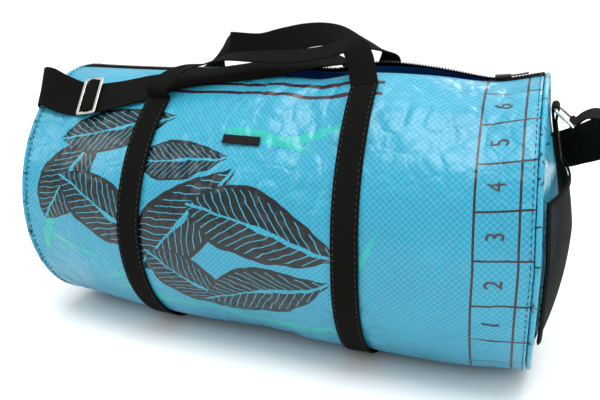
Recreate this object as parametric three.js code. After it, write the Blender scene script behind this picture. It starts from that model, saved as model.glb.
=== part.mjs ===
// Barrel gym bag, cut from a woven sack: a rolled body with a zip slit along its top, a bulging
// panel at each end, a net pocket, webbing straps with two handles, and a shoulder strap.
// Millimetres. X runs along the barrel, +X to the pocket end, -Y is the front, +Z is up.
// The origin is on the floor, under the middle of the bag's box.
import * as THREE from 'three';
import { mergeVertices } from 'three/addons/utils/BufferGeometryUtils.js';

// Driving dimensions
const BODY_LENGTH = 500;
const END_DIAMETER = 276;
const CLOTH = 1.6;
const FLOOR_FLATTENING = 6;
const FLOOR_BLEND = 3;
const HANDLE_WEBBING_WIDTH = 25;
const SHOULDER_WEBBING_WIDTH = 40;
const WEBBING = 1.8;
const ZIP_TAPE_WIDTH = 13;
const ZIP_OPENING = 46;
const ZIP_SLIDER_LENGTH = 14;
const ZIP_SLIDER_WIDTH = 10;
const ZIP_SLIDER_HEIGHT = 3;
const LEFT_PANEL_BULGE = 24;
const RIGHT_PANEL_BULGE = 16;
const POCKET_SLACK = 9.4;
const POCKET_NET = 1.2;
const POCKET_BINDING = 1.4;
const POCKET_BINDING_WIDTH = 7;
const PIPING = 5;
const WIRE = 3;
const SLIDER_LENGTH = 21;
const SLIDER_BAR = 2.8;
const SLIDER_THICKNESS = 2;
const RING_HEIGHT = 21;
const TAB_LENGTH = 48;
const TAB_WEBBING_WIDTH = 34;
const LABEL_WIDTH = 40;
const LABEL_HEIGHT = 9;
const LABEL_THICKNESS = 1;
const GAP = 0.4;
const STRAP_CLEARANCE = 0.8;

// The underside of the cloth rides this high, so that the straps under it lie on the floor.
const BASE = WEBBING + GAP;

// Sections of the barrel from its left end to its right end. Columns: share of BODY_LENGTH, then
// shares of END_DIAMETER: the girth, how far the axis bends to the back, how far the underside lifts
// off the floor (below zero where it is pressed on it), how far the lips of the slit stand up above
// the round, and how far the top leans.
const BODY_SECTIONS = [
  { along: 0.00, girth: 0.944, back: 0.108, lift: 0.024, crest: 0.000, lean: 0.000 },
  { along: 0.12, girth: 0.956, back: 0.084, lift: 0.010, crest: 0.004, lean: 0.014 },
  { along: 0.26, girth: 0.962, back: 0.058, lift: -0.003, crest: 0.018, lean: 0.026 },
  { along: 0.40, girth: 0.948, back: 0.026, lift: 0.010, crest: 0.034, lean: 0.012 },
  { along: 0.52, girth: 0.938, back: 0.006, lift: 0.018, crest: 0.050, lean: -0.008 },
  { along: 0.61, girth: 0.941, back: 0.002, lift: -0.002, crest: 0.072, lean: -0.018 },
  { along: 0.69, girth: 0.950, back: 0.000, lift: -0.002, crest: 0.088, lean: -0.026 },
  { along: 0.80, girth: 0.974, back: 0.000, lift: -0.002, crest: 0.050, lean: -0.030 },
  { along: 0.92, girth: 0.998, back: 0.000, lift: 0.002, crest: -0.004, lean: -0.030 },
  { along: 1.00, girth: 1.000, back: 0.000, lift: 0.022, crest: 0.000, lean: -0.030 },
];

// Soft dents and folds in the cloth. Columns: place as a share of BODY_LENGTH and an angle from the
// bottom towards the front, size as the same, turn in degrees, and depth as a share of END_DIAMETER.
const DENTS = [
  { along: 0.890, angle: 138, length: 0.050, spread: 7, turn: 38, depth: 0.012 },
  { along: 0.930, angle: 96, length: 0.030, spread: 34, turn: 4, depth: 0.008 },
  { along: 0.600, angle: 136, length: 0.045, spread: 16, turn: -24, depth: 0.010 },
  { along: 0.480, angle: 128, length: 0.070, spread: 10, turn: 18, depth: 0.008 },
  { along: 0.120, angle: 112, length: 0.050, spread: 20, turn: 30, depth: 0.010 },
  { along: 0.060, angle: 60, length: 0.040, spread: 22, turn: -20, depth: 0.010 },
  { along: 0.820, angle: 50, length: 0.060, spread: 12, turn: 12, depth: 0.007 },
  { along: 0.450, angle: 56, length: 0.080, spread: 12, turn: -14, depth: 0.008 },
  { along: 0.130, angle: -110, length: 0.060, spread: 22, turn: -24, depth: 0.012 },
  { along: 0.480, angle: -96, length: 0.090, spread: 18, turn: 16, depth: 0.012 },
  { along: 0.860, angle: -100, length: 0.060, spread: 16, turn: -30, depth: 0.011 },
];

// The two rings of webbing round the barrel. Columns: the place of their middle as a share of
// BODY_LENGTH, and how many steps of the cloth's grid before each lip the handles lift off.
const RINGS = {
  left: { along: 0.2575, frontSteps: 4, backSteps: 3 },
  right: { along: 0.6937, frontSteps: 1, backSteps: 1 },
};

// Routes of the webbing in the air. Columns: x as a share of BODY_LENGTH, y and z as shares of
// END_DIAMETER, and the direction of the webbing's width.
const FRONT_HANDLE = [
  { x: -0.232, y: -0.210, z: 0.925, across: [0.97, -0.20, -0.10] },
  { x: -0.214, y: -0.170, z: 0.962, across: [0.80, -0.55, -0.20] },
  { x: -0.194, y: -0.149, z: 0.985, across: [0.50, -0.85, -0.15] },
  { x: -0.154, y: -0.138, z: 1.003, across: [0.15, -0.98, 0.05] },
  { x: -0.100, y: -0.123, z: 1.033, across: [0.00, -0.98, -0.15] },
  { x: -0.040, y: -0.112, z: 1.038, across: [0.00, -0.95, -0.30] },
  { x: 0.032, y: -0.109, z: 1.043, across: [0.00, -0.92, -0.40] },
  { x: 0.090, y: -0.109, z: 1.060, across: [0.00, -0.92, -0.40] },
  { x: 0.126, y: -0.112, z: 1.080, across: [-0.15, -0.85, -0.50] },
  { x: 0.148, y: -0.123, z: 1.087, across: [-0.50, -0.70, -0.50] },
  { x: 0.162, y: -0.138, z: 1.058, across: [-0.90, -0.40, -0.10] },
];
const BACK_HANDLE = [
  { x: -0.220, y: 0.225, z: 0.949, across: [-0.90, -0.20, -0.40] },
  { x: -0.192, y: 0.152, z: 1.004, across: [-0.60, -0.30, -0.75] },
  { x: -0.152, y: 0.087, z: 1.051, across: [-0.25, -0.30, -0.90] },
  { x: -0.128, y: 0.029, z: 1.062, across: [0.00, -0.15, -1.00] },
  { x: -0.056, y: 0.000, z: 1.063, across: [0.00, -0.10, -1.00] },
  { x: -0.014, y: 0.000, z: 1.083, across: [0.00, -0.25, -0.97] },
  { x: 0.028, y: 0.007, z: 1.101, across: [0.00, -0.40, -0.92] },
  { x: 0.064, y: 0.029, z: 1.109, across: [0.00, -0.60, -0.80] },
  { x: 0.096, y: 0.058, z: 1.105, across: [0.00, -0.80, -0.60] },
  { x: 0.132, y: 0.094, z: 1.080, across: [0.00, -0.97, -0.25] },
  { x: 0.168, y: 0.130, z: 1.054, across: [0.30, -0.95, 0.00] },
  { x: 0.186, y: 0.156, z: 1.030, across: [0.80, -0.60, 0.00] },
];
// The shoulder strap, from the corner of the left end to the curl above the right end.
const SHOULDER_ROUTE = [
  { x: -0.534, y: -0.116, z: 0.868, across: [-0.05, -0.40, -0.91] },
  { x: -0.517, y: -0.162, z: 0.884, across: [0.00, -0.38, -0.92] },
  { x: -0.502, y: -0.194, z: 0.912, across: [0.00, -0.42, -0.91] },
  { x: -0.466, y: -0.200, z: 0.890, across: [0.00, -0.50, -0.86] },
  { x: -0.410, y: -0.196, z: 0.865, across: [0.00, -0.70, -0.71] },
  { x: -0.350, y: -0.181, z: 0.880, across: [0.00, -0.80, -0.60] },
  { x: -0.280, y: -0.152, z: 0.910, across: [0.00, -0.85, -0.50] },
  { x: -0.196, y: -0.080, z: 0.938, across: [0.10, -0.93, -0.35] },
  { x: -0.100, y: -0.062, z: 0.968, across: [0.10, -0.93, -0.33] },
  { x: 0.000, y: -0.043, z: 1.000, across: [0.15, -0.93, -0.30] },
  { x: 0.072, y: 0.010, z: 1.022, across: [0.30, -0.93, -0.20] },
  { x: 0.096, y: 0.090, z: 1.022, across: [0.50, -0.85, -0.15] },
  { x: 0.108, y: 0.180, z: 0.992, across: [0.62, -0.70, 0.19] },
  { x: 0.132, y: 0.285, z: 0.925, across: [0.74, -0.55, 0.28] },
  { x: 0.180, y: 0.385, z: 0.815, across: [0.80, -0.38, 0.45] },
  { x: 0.262, y: 0.458, z: 0.715, across: [0.63, -0.33, 0.67] },
  { x: 0.360, y: 0.490, z: 0.655, across: [0.27, -0.28, 0.90] },
  { x: 0.458, y: 0.505, z: 0.638, across: [0.05, -0.20, 0.97] },
  { x: 0.526, y: 0.465, z: 0.660, across: [-0.10, -0.20, 0.97] },
  { x: 0.560, y: 0.360, z: 0.705, across: [-0.15, -0.05, 0.98] },
  { x: 0.582, y: 0.240, z: 0.748, across: [-0.25, 0.05, 0.97] },
  { x: 0.600, y: 0.135, z: 0.788, across: [-0.40, 0.30, 0.87] },
  { x: 0.612, y: 0.060, z: 0.820, across: [-0.48, 0.62, 0.62] },
  { x: 0.610, y: 0.020, z: 0.852, across: [-0.36, 0.87, 0.34] },
  { x: 0.592, y: 0.012, z: 0.878, across: [-0.18, 0.97, 0.14] },
  { x: 0.568, y: 0.012, z: 0.884, across: [0.00, 1.00, 0.00] },
];

// The steel rings. Columns: the place on the end panel of the bar that the tab holds, as shares of
// END_DIAMETER, the direction of the bars, and the way to the bar that holds the shoulder strap.
const END_RINGS = {
  left: { y: 0.009, z: 0.814, bar: [0.0, -0.42, -0.91], outwards: [-0.20, -0.87, 0.41] },
  right: { y: 0.012, z: 0.898, bar: [0.0, -1.0, 0.0], outwards: [0.77, 0.0, -0.64] },
};

// The middle of the slider as a share of BODY_LENGTH, and the middle of the label as a share of
// BODY_LENGTH and an angle from the bottom towards the front.
const SLIDER_PLACE = -0.390;
const LABEL = { along: 0.475, angle: 131.5 };

const ANGLE_STEPS = 40;
const PANEL_RINGS = 5;
const radians = THREE.MathUtils.degToRad;
const clamp = THREE.MathUtils.clamp;
const lerp = THREE.MathUtils.lerp;

// A smooth value of one column of a table at a place along it.
function column(table, name, at) {
  const last = table.length - 1;
  let k = 0;
  while (k < last - 1 && at > table[k + 1].along) k += 1;
  const slope = (i) => {
    const a = table[Math.max(i - 1, 0)];
    const b = table[Math.min(i + 1, last)];
    return (b[name] - a[name]) / (b.along - a.along);
  };
  const span = table[k + 1].along - table[k].along;
  const s = clamp((at - table[k].along) / span, 0, 1);
  const s2 = s * s;
  const s3 = s2 * s;
  return table[k][name] * (2 * s3 - 3 * s2 + 1) + table[k + 1][name] * (3 * s2 - 2 * s3)
    + slope(k) * span * (s3 - 2 * s2 + s) + slope(k + 1) * span * (s3 - s2);
}

// A bump that is 1 in its middle and falls smoothly to 0 at distance 1.
function bump(distance) {
  const rest = Math.max(0, 1 - distance * distance);
  return rest * rest;
}

// How deep the cloth is dented at a place.
function dentDepth(along, angle) {
  let depth = 0;
  for (const dent of DENTS) {
    const turn = radians(dent.turn);
    const u = (along - dent.along) / dent.length;
    const v = (angle - dent.angle) / dent.spread;
    const a = u * Math.cos(turn) + v * Math.sin(turn);
    const b = v * Math.cos(turn) - u * Math.sin(turn);
    depth += dent.depth * bump(Math.hypot(a, b) / 2);
  }
  return depth * END_DIAMETER;
}

// A height above the floor that settles flat, smoothly, where it would go below it.
function settle(height) {
  if (height > FLOOR_BLEND) return height;
  if (height < -FLOOR_BLEND) return 0;
  return (height + FLOOR_BLEND) ** 2 / (4 * FLOOR_BLEND);
}

// How far the underside is off the straps that lie on the floor.
function liftAt(along) {
  return Math.max(0, column(BODY_SECTIONS, 'lift', along)) * END_DIAMETER;
}

// The axis of the barrel at a share of its length.
function bodyCentre(along) {
  const radius = column(BODY_SECTIONS, 'girth', along) * END_DIAMETER / 2;
  const back = column(BODY_SECTIONS, 'back', along) * END_DIAMETER;
  const height = BASE + liftAt(along) + radius - FLOOR_FLATTENING;
  return new THREE.Vector3((along - 0.5) * BODY_LENGTH, back, height);
}

// The outer face of the cloth, at a share of the length and an angle in degrees from the bottom,
// positive towards the front and 180 at the top.
function bodyFace(along, angle) {
  const radius = column(BODY_SECTIONS, 'girth', along) * END_DIAMETER / 2;
  const crest = column(BODY_SECTIONS, 'crest', along) * END_DIAMETER;
  const centre = bodyCentre(along);
  const a = radians(angle);
  const reach = radius - dentDepth(along, angle);
  const topness = Math.max(0, -Math.cos(a));
  const height = radius - FLOOR_FLATTENING - reach * Math.cos(a) + crest * topness ** 4;
  const lean = column(BODY_SECTIONS, 'lean', along) * END_DIAMETER * topness;
  return new THREE.Vector3(
    centre.x + lean,
    centre.y - reach * Math.sin(a),
    BASE + liftAt(along) + settle(height),
  );
}

// A point a given distance outside the cloth, along the cloth's own normal.
function onBody(along, angle, out) {
  const alongStep = 0.002;
  const angleStep = 0.5;
  const du = bodyFace(along + alongStep, angle).sub(bodyFace(along - alongStep, angle));
  const dv = bodyFace(along, angle + angleStep).sub(bodyFace(along, angle - angleStep));
  return bodyFace(along, angle).addScaledVector(du.cross(dv).normalize(), out);
}

// The place on the cloth under a point, and how far outside the cloth the point is.
function nearestOnBody(point) {
  let along = point.x / BODY_LENGTH + 0.5;
  const centre = bodyCentre(clamp(along, 0, 1));
  let angle = THREE.MathUtils.radToDeg(Math.atan2(centre.y - point.y, centre.z - point.z));
  let out = 0;
  for (let round = 0; round < 8; round += 1) {
    const face = bodyFace(along, angle);
    const du = bodyFace(along + 0.004, angle).sub(face).divideScalar(0.004);
    const dv = bodyFace(along, angle + 1).sub(face);
    const miss = point.clone().sub(face);
    out = miss.dot(du.clone().cross(dv).normalize());
    along += miss.dot(du) / du.lengthSq();
    angle += clamp(miss.dot(dv) / dv.lengthSq(), -20, 20);
  }
  return { along, angle, out };
}

// Moves a point of a loose strap out of the cloth where it is nearer to it than a clearance.
function clearOfBody(point, clearance) {
  const { along, angle, out } = nearestOnBody(point);
  return out < clearance ? onBody(along, angle, clearance) : point;
}

// The same beyond the end of the barrel, where the piping and the end panel are in the way.
function clearOfBag(point, clearance) {
  const panel = point.x < 0 ? PANELS.left : PANELS.right;
  const centre = bodyCentre(panel.along);
  const angle = THREE.MathUtils.radToDeg(Math.atan2(centre.y - point.y, centre.z - point.z));
  const rim = bodyFace(panel.along, angle);
  if ((point.x - rim.x) * panel.side < 0) return clearOfBody(point, clearance);
  const reach = Math.hypot(rim.y - centre.y, rim.z - centre.z);
  const here = Math.hypot(point.y - centre.y, point.z - centre.z);
  const insideRim = reach + clearance - here;
  if (insideRim <= 0) return point;
  const piped = rim.x + panel.side * (GAP + PIPING + clearance);
  const overPanel = here < reach - PIPING - GAP - clearance;
  const face = overPanel ? onPanelAt(panel, point.y, point.z, clearance).x : piped;
  const short = (face - point.x) * panel.side;
  if (short <= 0) return point;
  if (insideRim > short) return point.clone().setX(face);
  const outwards = point.clone().sub(centre).setX(0).normalize();
  return point.clone().addScaledVector(outwards, insideRim);
}

// A closed solid from triangles, with its faces turned outwards.
function solid(corners) {
  let volume = 0;
  for (const [a, b, c] of corners) volume += a.dot(b.clone().cross(c));
  const numbers = [];
  for (const [a, b, c] of corners) {
    const turned = volume > 0 ? [a, b, c] : [a, c, b];
    for (const point of turned) numbers.push(point.x, point.y, point.z);
  }
  const geometry = new THREE.BufferGeometry();
  geometry.setAttribute('position', new THREE.Float32BufferAttribute(numbers, 3));
  return mergeVertices(geometry, 1e-4);
}

// The triangles of one quad, without those that have no width.
function quad(corners, a, b, c, d) {
  const nearlyNothing = 1e-4;
  for (const [p, q, r] of [[a, b, c], [a, c, d]]) {
    const flat = p.distanceTo(q) < nearlyNothing || q.distanceTo(r) < nearlyNothing
      || r.distanceTo(p) < nearlyNothing;
    if (!flat) corners.push([p, q, r]);
  }
}

// A wall between two matching grids of points. Closed rows join the last row to the first.
function wall(outer, inner, closedRows = false) {
  const corners = [];
  const rows = outer.length;
  const lastColumn = outer[0].length - 1;
  for (let i = 0; i < (closedRows ? rows : rows - 1); i += 1) {
    const n = (i + 1) % rows;
    for (let j = 0; j < lastColumn; j += 1) {
      quad(corners, outer[i][j], outer[n][j], outer[n][j + 1], outer[i][j + 1]);
      quad(corners, inner[i][j + 1], inner[n][j + 1], inner[n][j], inner[i][j]);
    }
    quad(corners, inner[i][0], inner[n][0], outer[n][0], outer[i][0]);
    quad(corners, outer[i][lastColumn], outer[n][lastColumn], inner[n][lastColumn], inner[i][lastColumn]);
  }
  if (!closedRows) {
    const e = rows - 1;
    for (let j = 0; j < lastColumn; j += 1) {
      quad(corners, outer[0][j], outer[0][j + 1], inner[0][j + 1], inner[0][j]);
      quad(corners, inner[e][j], inner[e][j + 1], outer[e][j + 1], outer[e][j]);
    }
  }
  return solid(corners);
}

// A round bar bent along a closed path of points.
function closedTube(path, radius, sides) {
  const corners = [];
  const rings = path.map((point, k) => {
    const before = path[(k - 1 + path.length) % path.length];
    const after = path[(k + 1) % path.length];
    const tangent = after.clone().sub(before).normalize();
    const middle = path.reduce((sum, p) => sum.add(p), new THREE.Vector3()).divideScalar(path.length);
    const outwards = point.clone().sub(middle);
    outwards.addScaledVector(tangent, -outwards.dot(tangent)).normalize();
    const sideways = tangent.clone().cross(outwards);
    return Array.from({ length: sides }, (_, s) => {
      const a = (2 * Math.PI * (s + 0.5)) / sides;
      return point.clone().addScaledVector(outwards, radius * Math.cos(a))
        .addScaledVector(sideways, radius * Math.sin(a));
    });
  });
  rings.forEach((ring, i) => {
    const next = rings[(i + 1) % rings.length];
    for (let s = 0; s < sides; s += 1) {
      const t = (s + 1) % sides;
      quad(corners, ring[s], ring[t], next[t], next[s]);
    }
  });
  return solid(corners);
}

// A strip of webbing through rows of a centre and the direction of its width.
function strip(rows, width, columns, clearance) {
  const grid = (side) => rows.map((row, i) => {
    const before = rows[Math.max(i - 1, 0)].centre;
    const after = rows[Math.min(i + 1, rows.length - 1)].centre;
    const tangent = after.clone().sub(before).normalize();
    const across = row.across.clone();
    const isEnd = i === 0 || i === rows.length - 1;
    if (!isEnd) across.addScaledVector(tangent, -across.dot(tangent));
    across.normalize();
    const normal = tangent.cross(across).normalize();
    return Array.from({ length: columns + 1 }, (_, j) => {
      const offset = (j / columns - 0.5) * width;
      const point = row.centre.clone().addScaledVector(across, offset);
      const cleared = clearOfBag(point, clearance + WEBBING / 2);
      return cleared.addScaledVector(normal, side * WEBBING / 2);
    });
  });
  return wall(grid(1), grid(-1));
}

// Rows at even steps along smooth curves through the rows given.
function smoothRows(rows, steps) {
  const centres = new THREE.CatmullRomCurve3(rows.map((row) => row.centre), false, 'centripetal');
  const lengths = rows.map((row) => row.centre);
  const marks = [0];
  for (let k = 1; k < lengths.length; k += 1) {
    marks.push(marks[k - 1] + lengths[k].distanceTo(lengths[k - 1]));
  }
  const total = marks[marks.length - 1];
  return Array.from({ length: steps + 1 }, (_, i) => {
    const centre = centres.getPointAt(i / steps);
    const at = (i / steps) * total;
    let k = 0;
    while (k < marks.length - 2 && at > marks[k + 1]) k += 1;
    const share = (at - marks[k]) / (marks[k + 1] - marks[k]);
    return { centre, across: rows[k].across.clone().lerp(rows[k + 1].across, share).normalize() };
  });
}

// Rows of a route that is given as shares of the bag's sizes.
function routeRows(table) {
  return table.map((row) => ({
    centre: new THREE.Vector3(row.x * BODY_LENGTH, row.y * END_DIAMETER, row.z * END_DIAMETER),
    across: new THREE.Vector3(...row.across),
  }));
}

const bag = new THREE.Group();

// Adds a named piece with its own finish.
function addPiece(name, geometry, finish) {
  geometry.computeVertexNormals();
  const mesh = new THREE.Mesh(geometry, new THREE.MeshStandardMaterial(finish));
  mesh.name = name;
  bag.add(mesh);
  return mesh;
}

const CLOTH_FINISH = { color: 0x49a8c8, roughness: 0.35, metalness: 0 };
const WEBBING_FINISH = { color: 0x14130f, roughness: 0.85, metalness: 0 };
const NET_FINISH = { color: 0x273238, roughness: 0.8, metalness: 0 };
const STEEL_FINISH = { color: 0xc9c7c0, roughness: 0.25, metalness: 1 };

// Half the slit in the cloth at a place, in degrees: the tape, and the lens-shaped opening beside it.
const OPENING_START = 0.30;
const OPENING_END = 0.93;
function slitAngle(along, tape) {
  const share = clamp((along - OPENING_START) / (OPENING_END - OPENING_START), 0, 1);
  const half = tape + GAP / 2 + Math.sin(Math.PI * share) * ZIP_OPENING / 2;
  return THREE.MathUtils.radToDeg(half / (END_DIAMETER / 2));
}

// The angle of one step of the cloth's grid at a place along it, from the back lip to the front lip.
function gridAngle(step, along) {
  const reach = 180 - slitAngle(along, ZIP_TAPE_WIDTH);
  return lerp(-reach, reach, step / ANGLE_STEPS);
}

// Stations of the cloth's grid: the edges of the rings of webbing are among them.
function span(from, to, steps) {
  return Array.from({ length: steps }, (_, k) => lerp(from, to, k / steps));
}
const ringHalf = HANDLE_WEBBING_WIDTH / 2 / BODY_LENGTH;
const stations = [
  ...span(0, RINGS.left.along - ringHalf, 7),
  RINGS.left.along - ringHalf,
  ...span(RINGS.left.along + ringHalf, RINGS.right.along - ringHalf, 11),
  RINGS.right.along - ringHalf,
  ...span(RINGS.right.along + ringHalf, 1, 9),
  1,
];
const steps = Array.from({ length: ANGLE_STEPS + 1 }, (_, j) => j);

// The body: one sheet of cloth rolled into a barrel.
const bodyGrid = (out) => stations.map((s) => steps.map((j) => onBody(s, gridAngle(j, s), out)));
addPiece('body_shell', wall(bodyGrid(0), bodyGrid(-CLOTH)), CLOTH_FINISH);

// The zip: a tape along each lip, and a slider where the opening ends.
for (const [name, sign] of [['zip_tape_front', 1], ['zip_tape_back', -1]]) {
  const lipGap = THREE.MathUtils.radToDeg(GAP / (END_DIAMETER / 2));
  const grid = (out) => stations.map((s) => {
    const outerEdge = 180 - slitAngle(s, ZIP_TAPE_WIDTH) + lipGap;
    const innerEdge = 180 - slitAngle(s, 0);
    return [0, 0.5, 1].map((share) => onBody(s, sign * lerp(outerEdge, innerEdge, share), out));
  });
  addPiece(name, wall(grid(0), grid(-CLOTH)), WEBBING_FINISH);
}
const sliderOutline = new THREE.Shape();
sliderOutline.moveTo(-ZIP_SLIDER_LENGTH / 2, -ZIP_SLIDER_WIDTH / 2);
sliderOutline.lineTo(ZIP_SLIDER_LENGTH / 2, -ZIP_SLIDER_WIDTH / 3);
sliderOutline.lineTo(ZIP_SLIDER_LENGTH / 2, ZIP_SLIDER_WIDTH / 3);
sliderOutline.lineTo(-ZIP_SLIDER_LENGTH / 2, ZIP_SLIDER_WIDTH / 2);
sliderOutline.closePath();
const sliderDepth = { depth: ZIP_SLIDER_HEIGHT, bevelEnabled: false };
const sliderBlock = new THREE.ExtrudeGeometry(sliderOutline, sliderDepth);
sliderBlock.deleteAttribute('normal');
sliderBlock.deleteAttribute('uv');
const zipSlider = addPiece('zip_slider', mergeVertices(sliderBlock), STEEL_FINISH);
zipSlider.position.copy(onBody(OPENING_END, 180, 1.5 * STRAP_CLEARANCE));
const sliderAhead = onBody(OPENING_END + 0.01, 180, 1.5 * STRAP_CLEARANCE).sub(zipSlider.position);
zipSlider.rotation.y = -Math.atan2(sliderAhead.z, sliderAhead.x);

// A point on an end panel: a share of the way from its middle to its edge, at an angle.
const PANELS = {
  left: { side: -1, along: 0, bulge: LEFT_PANEL_BULGE },
  right: { side: 1, along: 1, bulge: RIGHT_PANEL_BULGE },
};
const TOP_SLACKNESS = 0.45;
function bulgeAt(panel, rho, up) {
  return panel.bulge * (1 - rho * rho) * (1 - TOP_SLACKNESS * Math.max(0, up));
}
function onPanel(panel, rho, angle, out) {
  const centre = bodyCentre(panel.along);
  const edge = bodyFace(panel.along, angle).sub(centre);
  const inset = 1 - (PIPING + GAP) / edge.length();
  const point = centre.clone().addScaledVector(edge, rho * inset);
  const up = (point.z - centre.z) / edge.length();
  point.x += panel.side * (GAP + CLOTH + bulgeAt(panel, rho, up) + out);
  return point;
}
// The same from a height and a depth, for what is sewn to the panel.
function onPanelAt(panel, y, z, out) {
  const centre = bodyCentre(panel.along);
  const angle = THREE.MathUtils.radToDeg(Math.atan2(centre.y - y, centre.z - z));
  const edge = bodyFace(panel.along, angle).sub(centre).length() - PIPING - GAP;
  const rho = Math.min(1, Math.hypot(centre.y - y, centre.z - z) / edge);
  return onPanel(panel, rho, angle, out).setY(y).setZ(z);
}
const turns = Array.from({ length: ANGLE_STEPS }, (_, k) => (360 * k) / ANGLE_STEPS);
for (const [name, panel] of Object.entries(PANELS)) {
  const shares = Array.from({ length: PANEL_RINGS + 1 }, (_, k) => Math.sqrt(k / PANEL_RINGS));
  const grid = (out) => turns.map((angle) => shares.map((rho) => onPanel(panel, rho, angle, out)));
  addPiece(`end_panel_${name}`, wall(grid(0), grid(-CLOTH), true), CLOTH_FINISH);
  const pipe = turns.map((angle) => {
    const centre = bodyCentre(panel.along);
    const edge = bodyFace(panel.along, angle).sub(centre);
    const point = centre.addScaledVector(edge, 1 - PIPING / 2 / edge.length());
    point.x += panel.side * (GAP + PIPING / 2);
    return point;
  });
  addPiece(`piping_${name}`, closedTube(pipe, PIPING / 2, 6), CLOTH_FINISH);
}

// The net pocket on the right panel: sewn round its sides and underside, open along its top edge.
const POCKET_REACH = 0.86;
const POCKET_TOP = 0.36;
function pocketEdge(angle) {
  const up = -Math.cos(radians(angle));
  return up > POCKET_TOP / POCKET_REACH ? POCKET_TOP / up : POCKET_REACH;
}
function onPocket(rho, angle, out) {
  const slack = POCKET_SLACK * (1 - (rho / POCKET_REACH) ** 2);
  return onPanel(PANELS.right, rho, angle, GAP + slack + out);
}
const pocketShares = [0, 0.45, 0.75, 1];
const pocketGrid = (out) => turns.map((angle) => pocketShares.map(
  (share) => onPocket(share * pocketEdge(angle), angle, out),
));
addPiece('pocket_net', wall(pocketGrid(POCKET_NET), pocketGrid(0), true), NET_FINISH);
const bindingGrid = (out) => turns.map((angle) => {
  const inset = POCKET_BINDING_WIDTH / (END_DIAMETER / 2);
  const edge = pocketEdge(angle);
  return [edge - inset, edge].map((rho) => onPocket(rho, angle, POCKET_NET + GAP + out));
});
addPiece('pocket_binding', wall(bindingGrid(POCKET_BINDING), bindingGrid(0), true), WEBBING_FINISH);

// The rings of webbing round the barrel, between the places where the handles lift off.
function ringRow(side, step, out) {
  const { along } = RINGS[side];
  return [along - ringHalf, along + ringHalf].map((s) => onBody(s, gridAngle(step, s), out));
}
for (const [side, ring] of Object.entries(RINGS)) {
  const run = steps.slice(ring.backSteps, steps.length - ring.frontSteps);
  const edge = (k, out) => run.map((step) => ringRow(side, step, out)[k]);
  const grid = (out) => [edge(0, out), edge(1, out)];
  addPiece(`strap_${side}`, wall(grid(GAP + WEBBING), grid(GAP)), WEBBING_FINISH);
}

// A handle: it continues a ring of webbing at each end, with a small gap where they are sewn.
function liftOff(side, step, beyond, turned) {
  const [a, b] = ringRow(side, step, GAP + WEBBING / 2);
  const [c, d] = ringRow(side, beyond, GAP + WEBBING / 2);
  const centre = a.clone().add(b).divideScalar(2);
  const onwards = c.add(d).divideScalar(2).sub(centre).normalize();
  return { centre: centre.addScaledVector(onwards, 2 * GAP), across: b.sub(a).multiplyScalar(turned) };
}
function addHandle(name, table, leftStep, rightStep, turn) {
  const rows = [
    liftOff('left', leftStep, leftStep + turn, turn),
    ...routeRows(table),
    liftOff('right', rightStep, rightStep + turn, -turn),
  ];
  addPiece(name, strip(smoothRows(rows, 30), HANDLE_WEBBING_WIDTH, 1, GAP), WEBBING_FINISH);
}
addHandle('handle_front', FRONT_HANDLE, ANGLE_STEPS - RINGS.left.frontSteps,
  ANGLE_STEPS - RINGS.right.frontSteps, 1);
addHandle('handle_back', BACK_HANDLE, RINGS.left.backSteps, RINGS.right.backSteps, -1);

// The middle and the direction of a line of a given length that lies over an end panel.
function acrossPanel(panel, middle, direction, length, out) {
  const [from, to] = [-0.5, 0.5].map((share) => {
    const foot = middle.clone().addScaledVector(direction, share * length);
    return onPanelAt(panel, foot.y, foot.z, out);
  });
  return { centre: from.clone().add(to).divideScalar(2), across: to.sub(from).normalize() };
}
// The steel ring at each end: where its two bars are, and the side that faces out.
function endRing(panel, { y, z, bar, outwards }) {
  const place = new THREE.Vector3(0, y * END_DIAMETER, z * END_DIAMETER);
  const flatBar = new THREE.Vector3(...bar).normalize();
  const standOff = 5 * GAP + WEBBING + WIRE / 2;
  const held = acrossPanel(panel, place, flatBar, SHOULDER_WEBBING_WIDTH, standOff);
  const tabBar = held.centre;
  const along = held.across;
  const towards = new THREE.Vector3(...outwards);
  towards.addScaledVector(along, -towards.dot(along)).normalize();
  const strapBar = tabBar.clone().addScaledVector(towards, RING_HEIGHT);
  const facing = along.clone().cross(towards);
  if (facing.x * panel.side < 0) facing.negate();
  return { panel, flatBar, along, towards, strapBar, tabBar, facing };
}
// Rows of webbing round a bar, from an angle to an angle that are measured from a direction.
function wrapRows(bar, across, direction, facing, from, to) {
  const radius = WIRE / 2 + GAP + WEBBING / 2;
  return [0, 0.25, 0.5, 0.75, 1].map((share) => {
    const a = radians(lerp(from, to, share));
    const centre = bar.clone().addScaledVector(direction, radius * Math.cos(a))
      .addScaledVector(facing, radius * Math.sin(a));
    return { centre, across: across.clone() };
  });
}
function roundedPath(middle, u, v, halfU, halfV, corner) {
  const path = [];
  for (const [su, sv, start] of [[1, 1, 0], [-1, 1, 90], [-1, -1, 180], [1, -1, 270]]) {
    for (const a of [start, start + 45, start + 90]) {
      const du = su * (halfU - corner) + corner * Math.cos(radians(a));
      const dv = sv * (halfV - corner) + corner * Math.sin(radians(a));
      path.push(middle.clone().addScaledVector(u, du).addScaledVector(v, dv));
    }
  }
  return path;
}
const rings = {};
for (const [name, row] of Object.entries(END_RINGS)) {
  const ring = endRing(PANELS[name], row);
  rings[name] = ring;
  const middle = ring.strapBar.clone().add(ring.tabBar).divideScalar(2);
  const halfBar = SHOULDER_WEBBING_WIDTH / 2 + GAP + WIRE / 2;
  const path = roundedPath(middle, ring.along, ring.towards, halfBar, RING_HEIGHT / 2, WIRE / 2);
  addPiece(`ring_${name}`, closedTube(path, WIRE / 2, 6), STEEL_FINISH);
}

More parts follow.
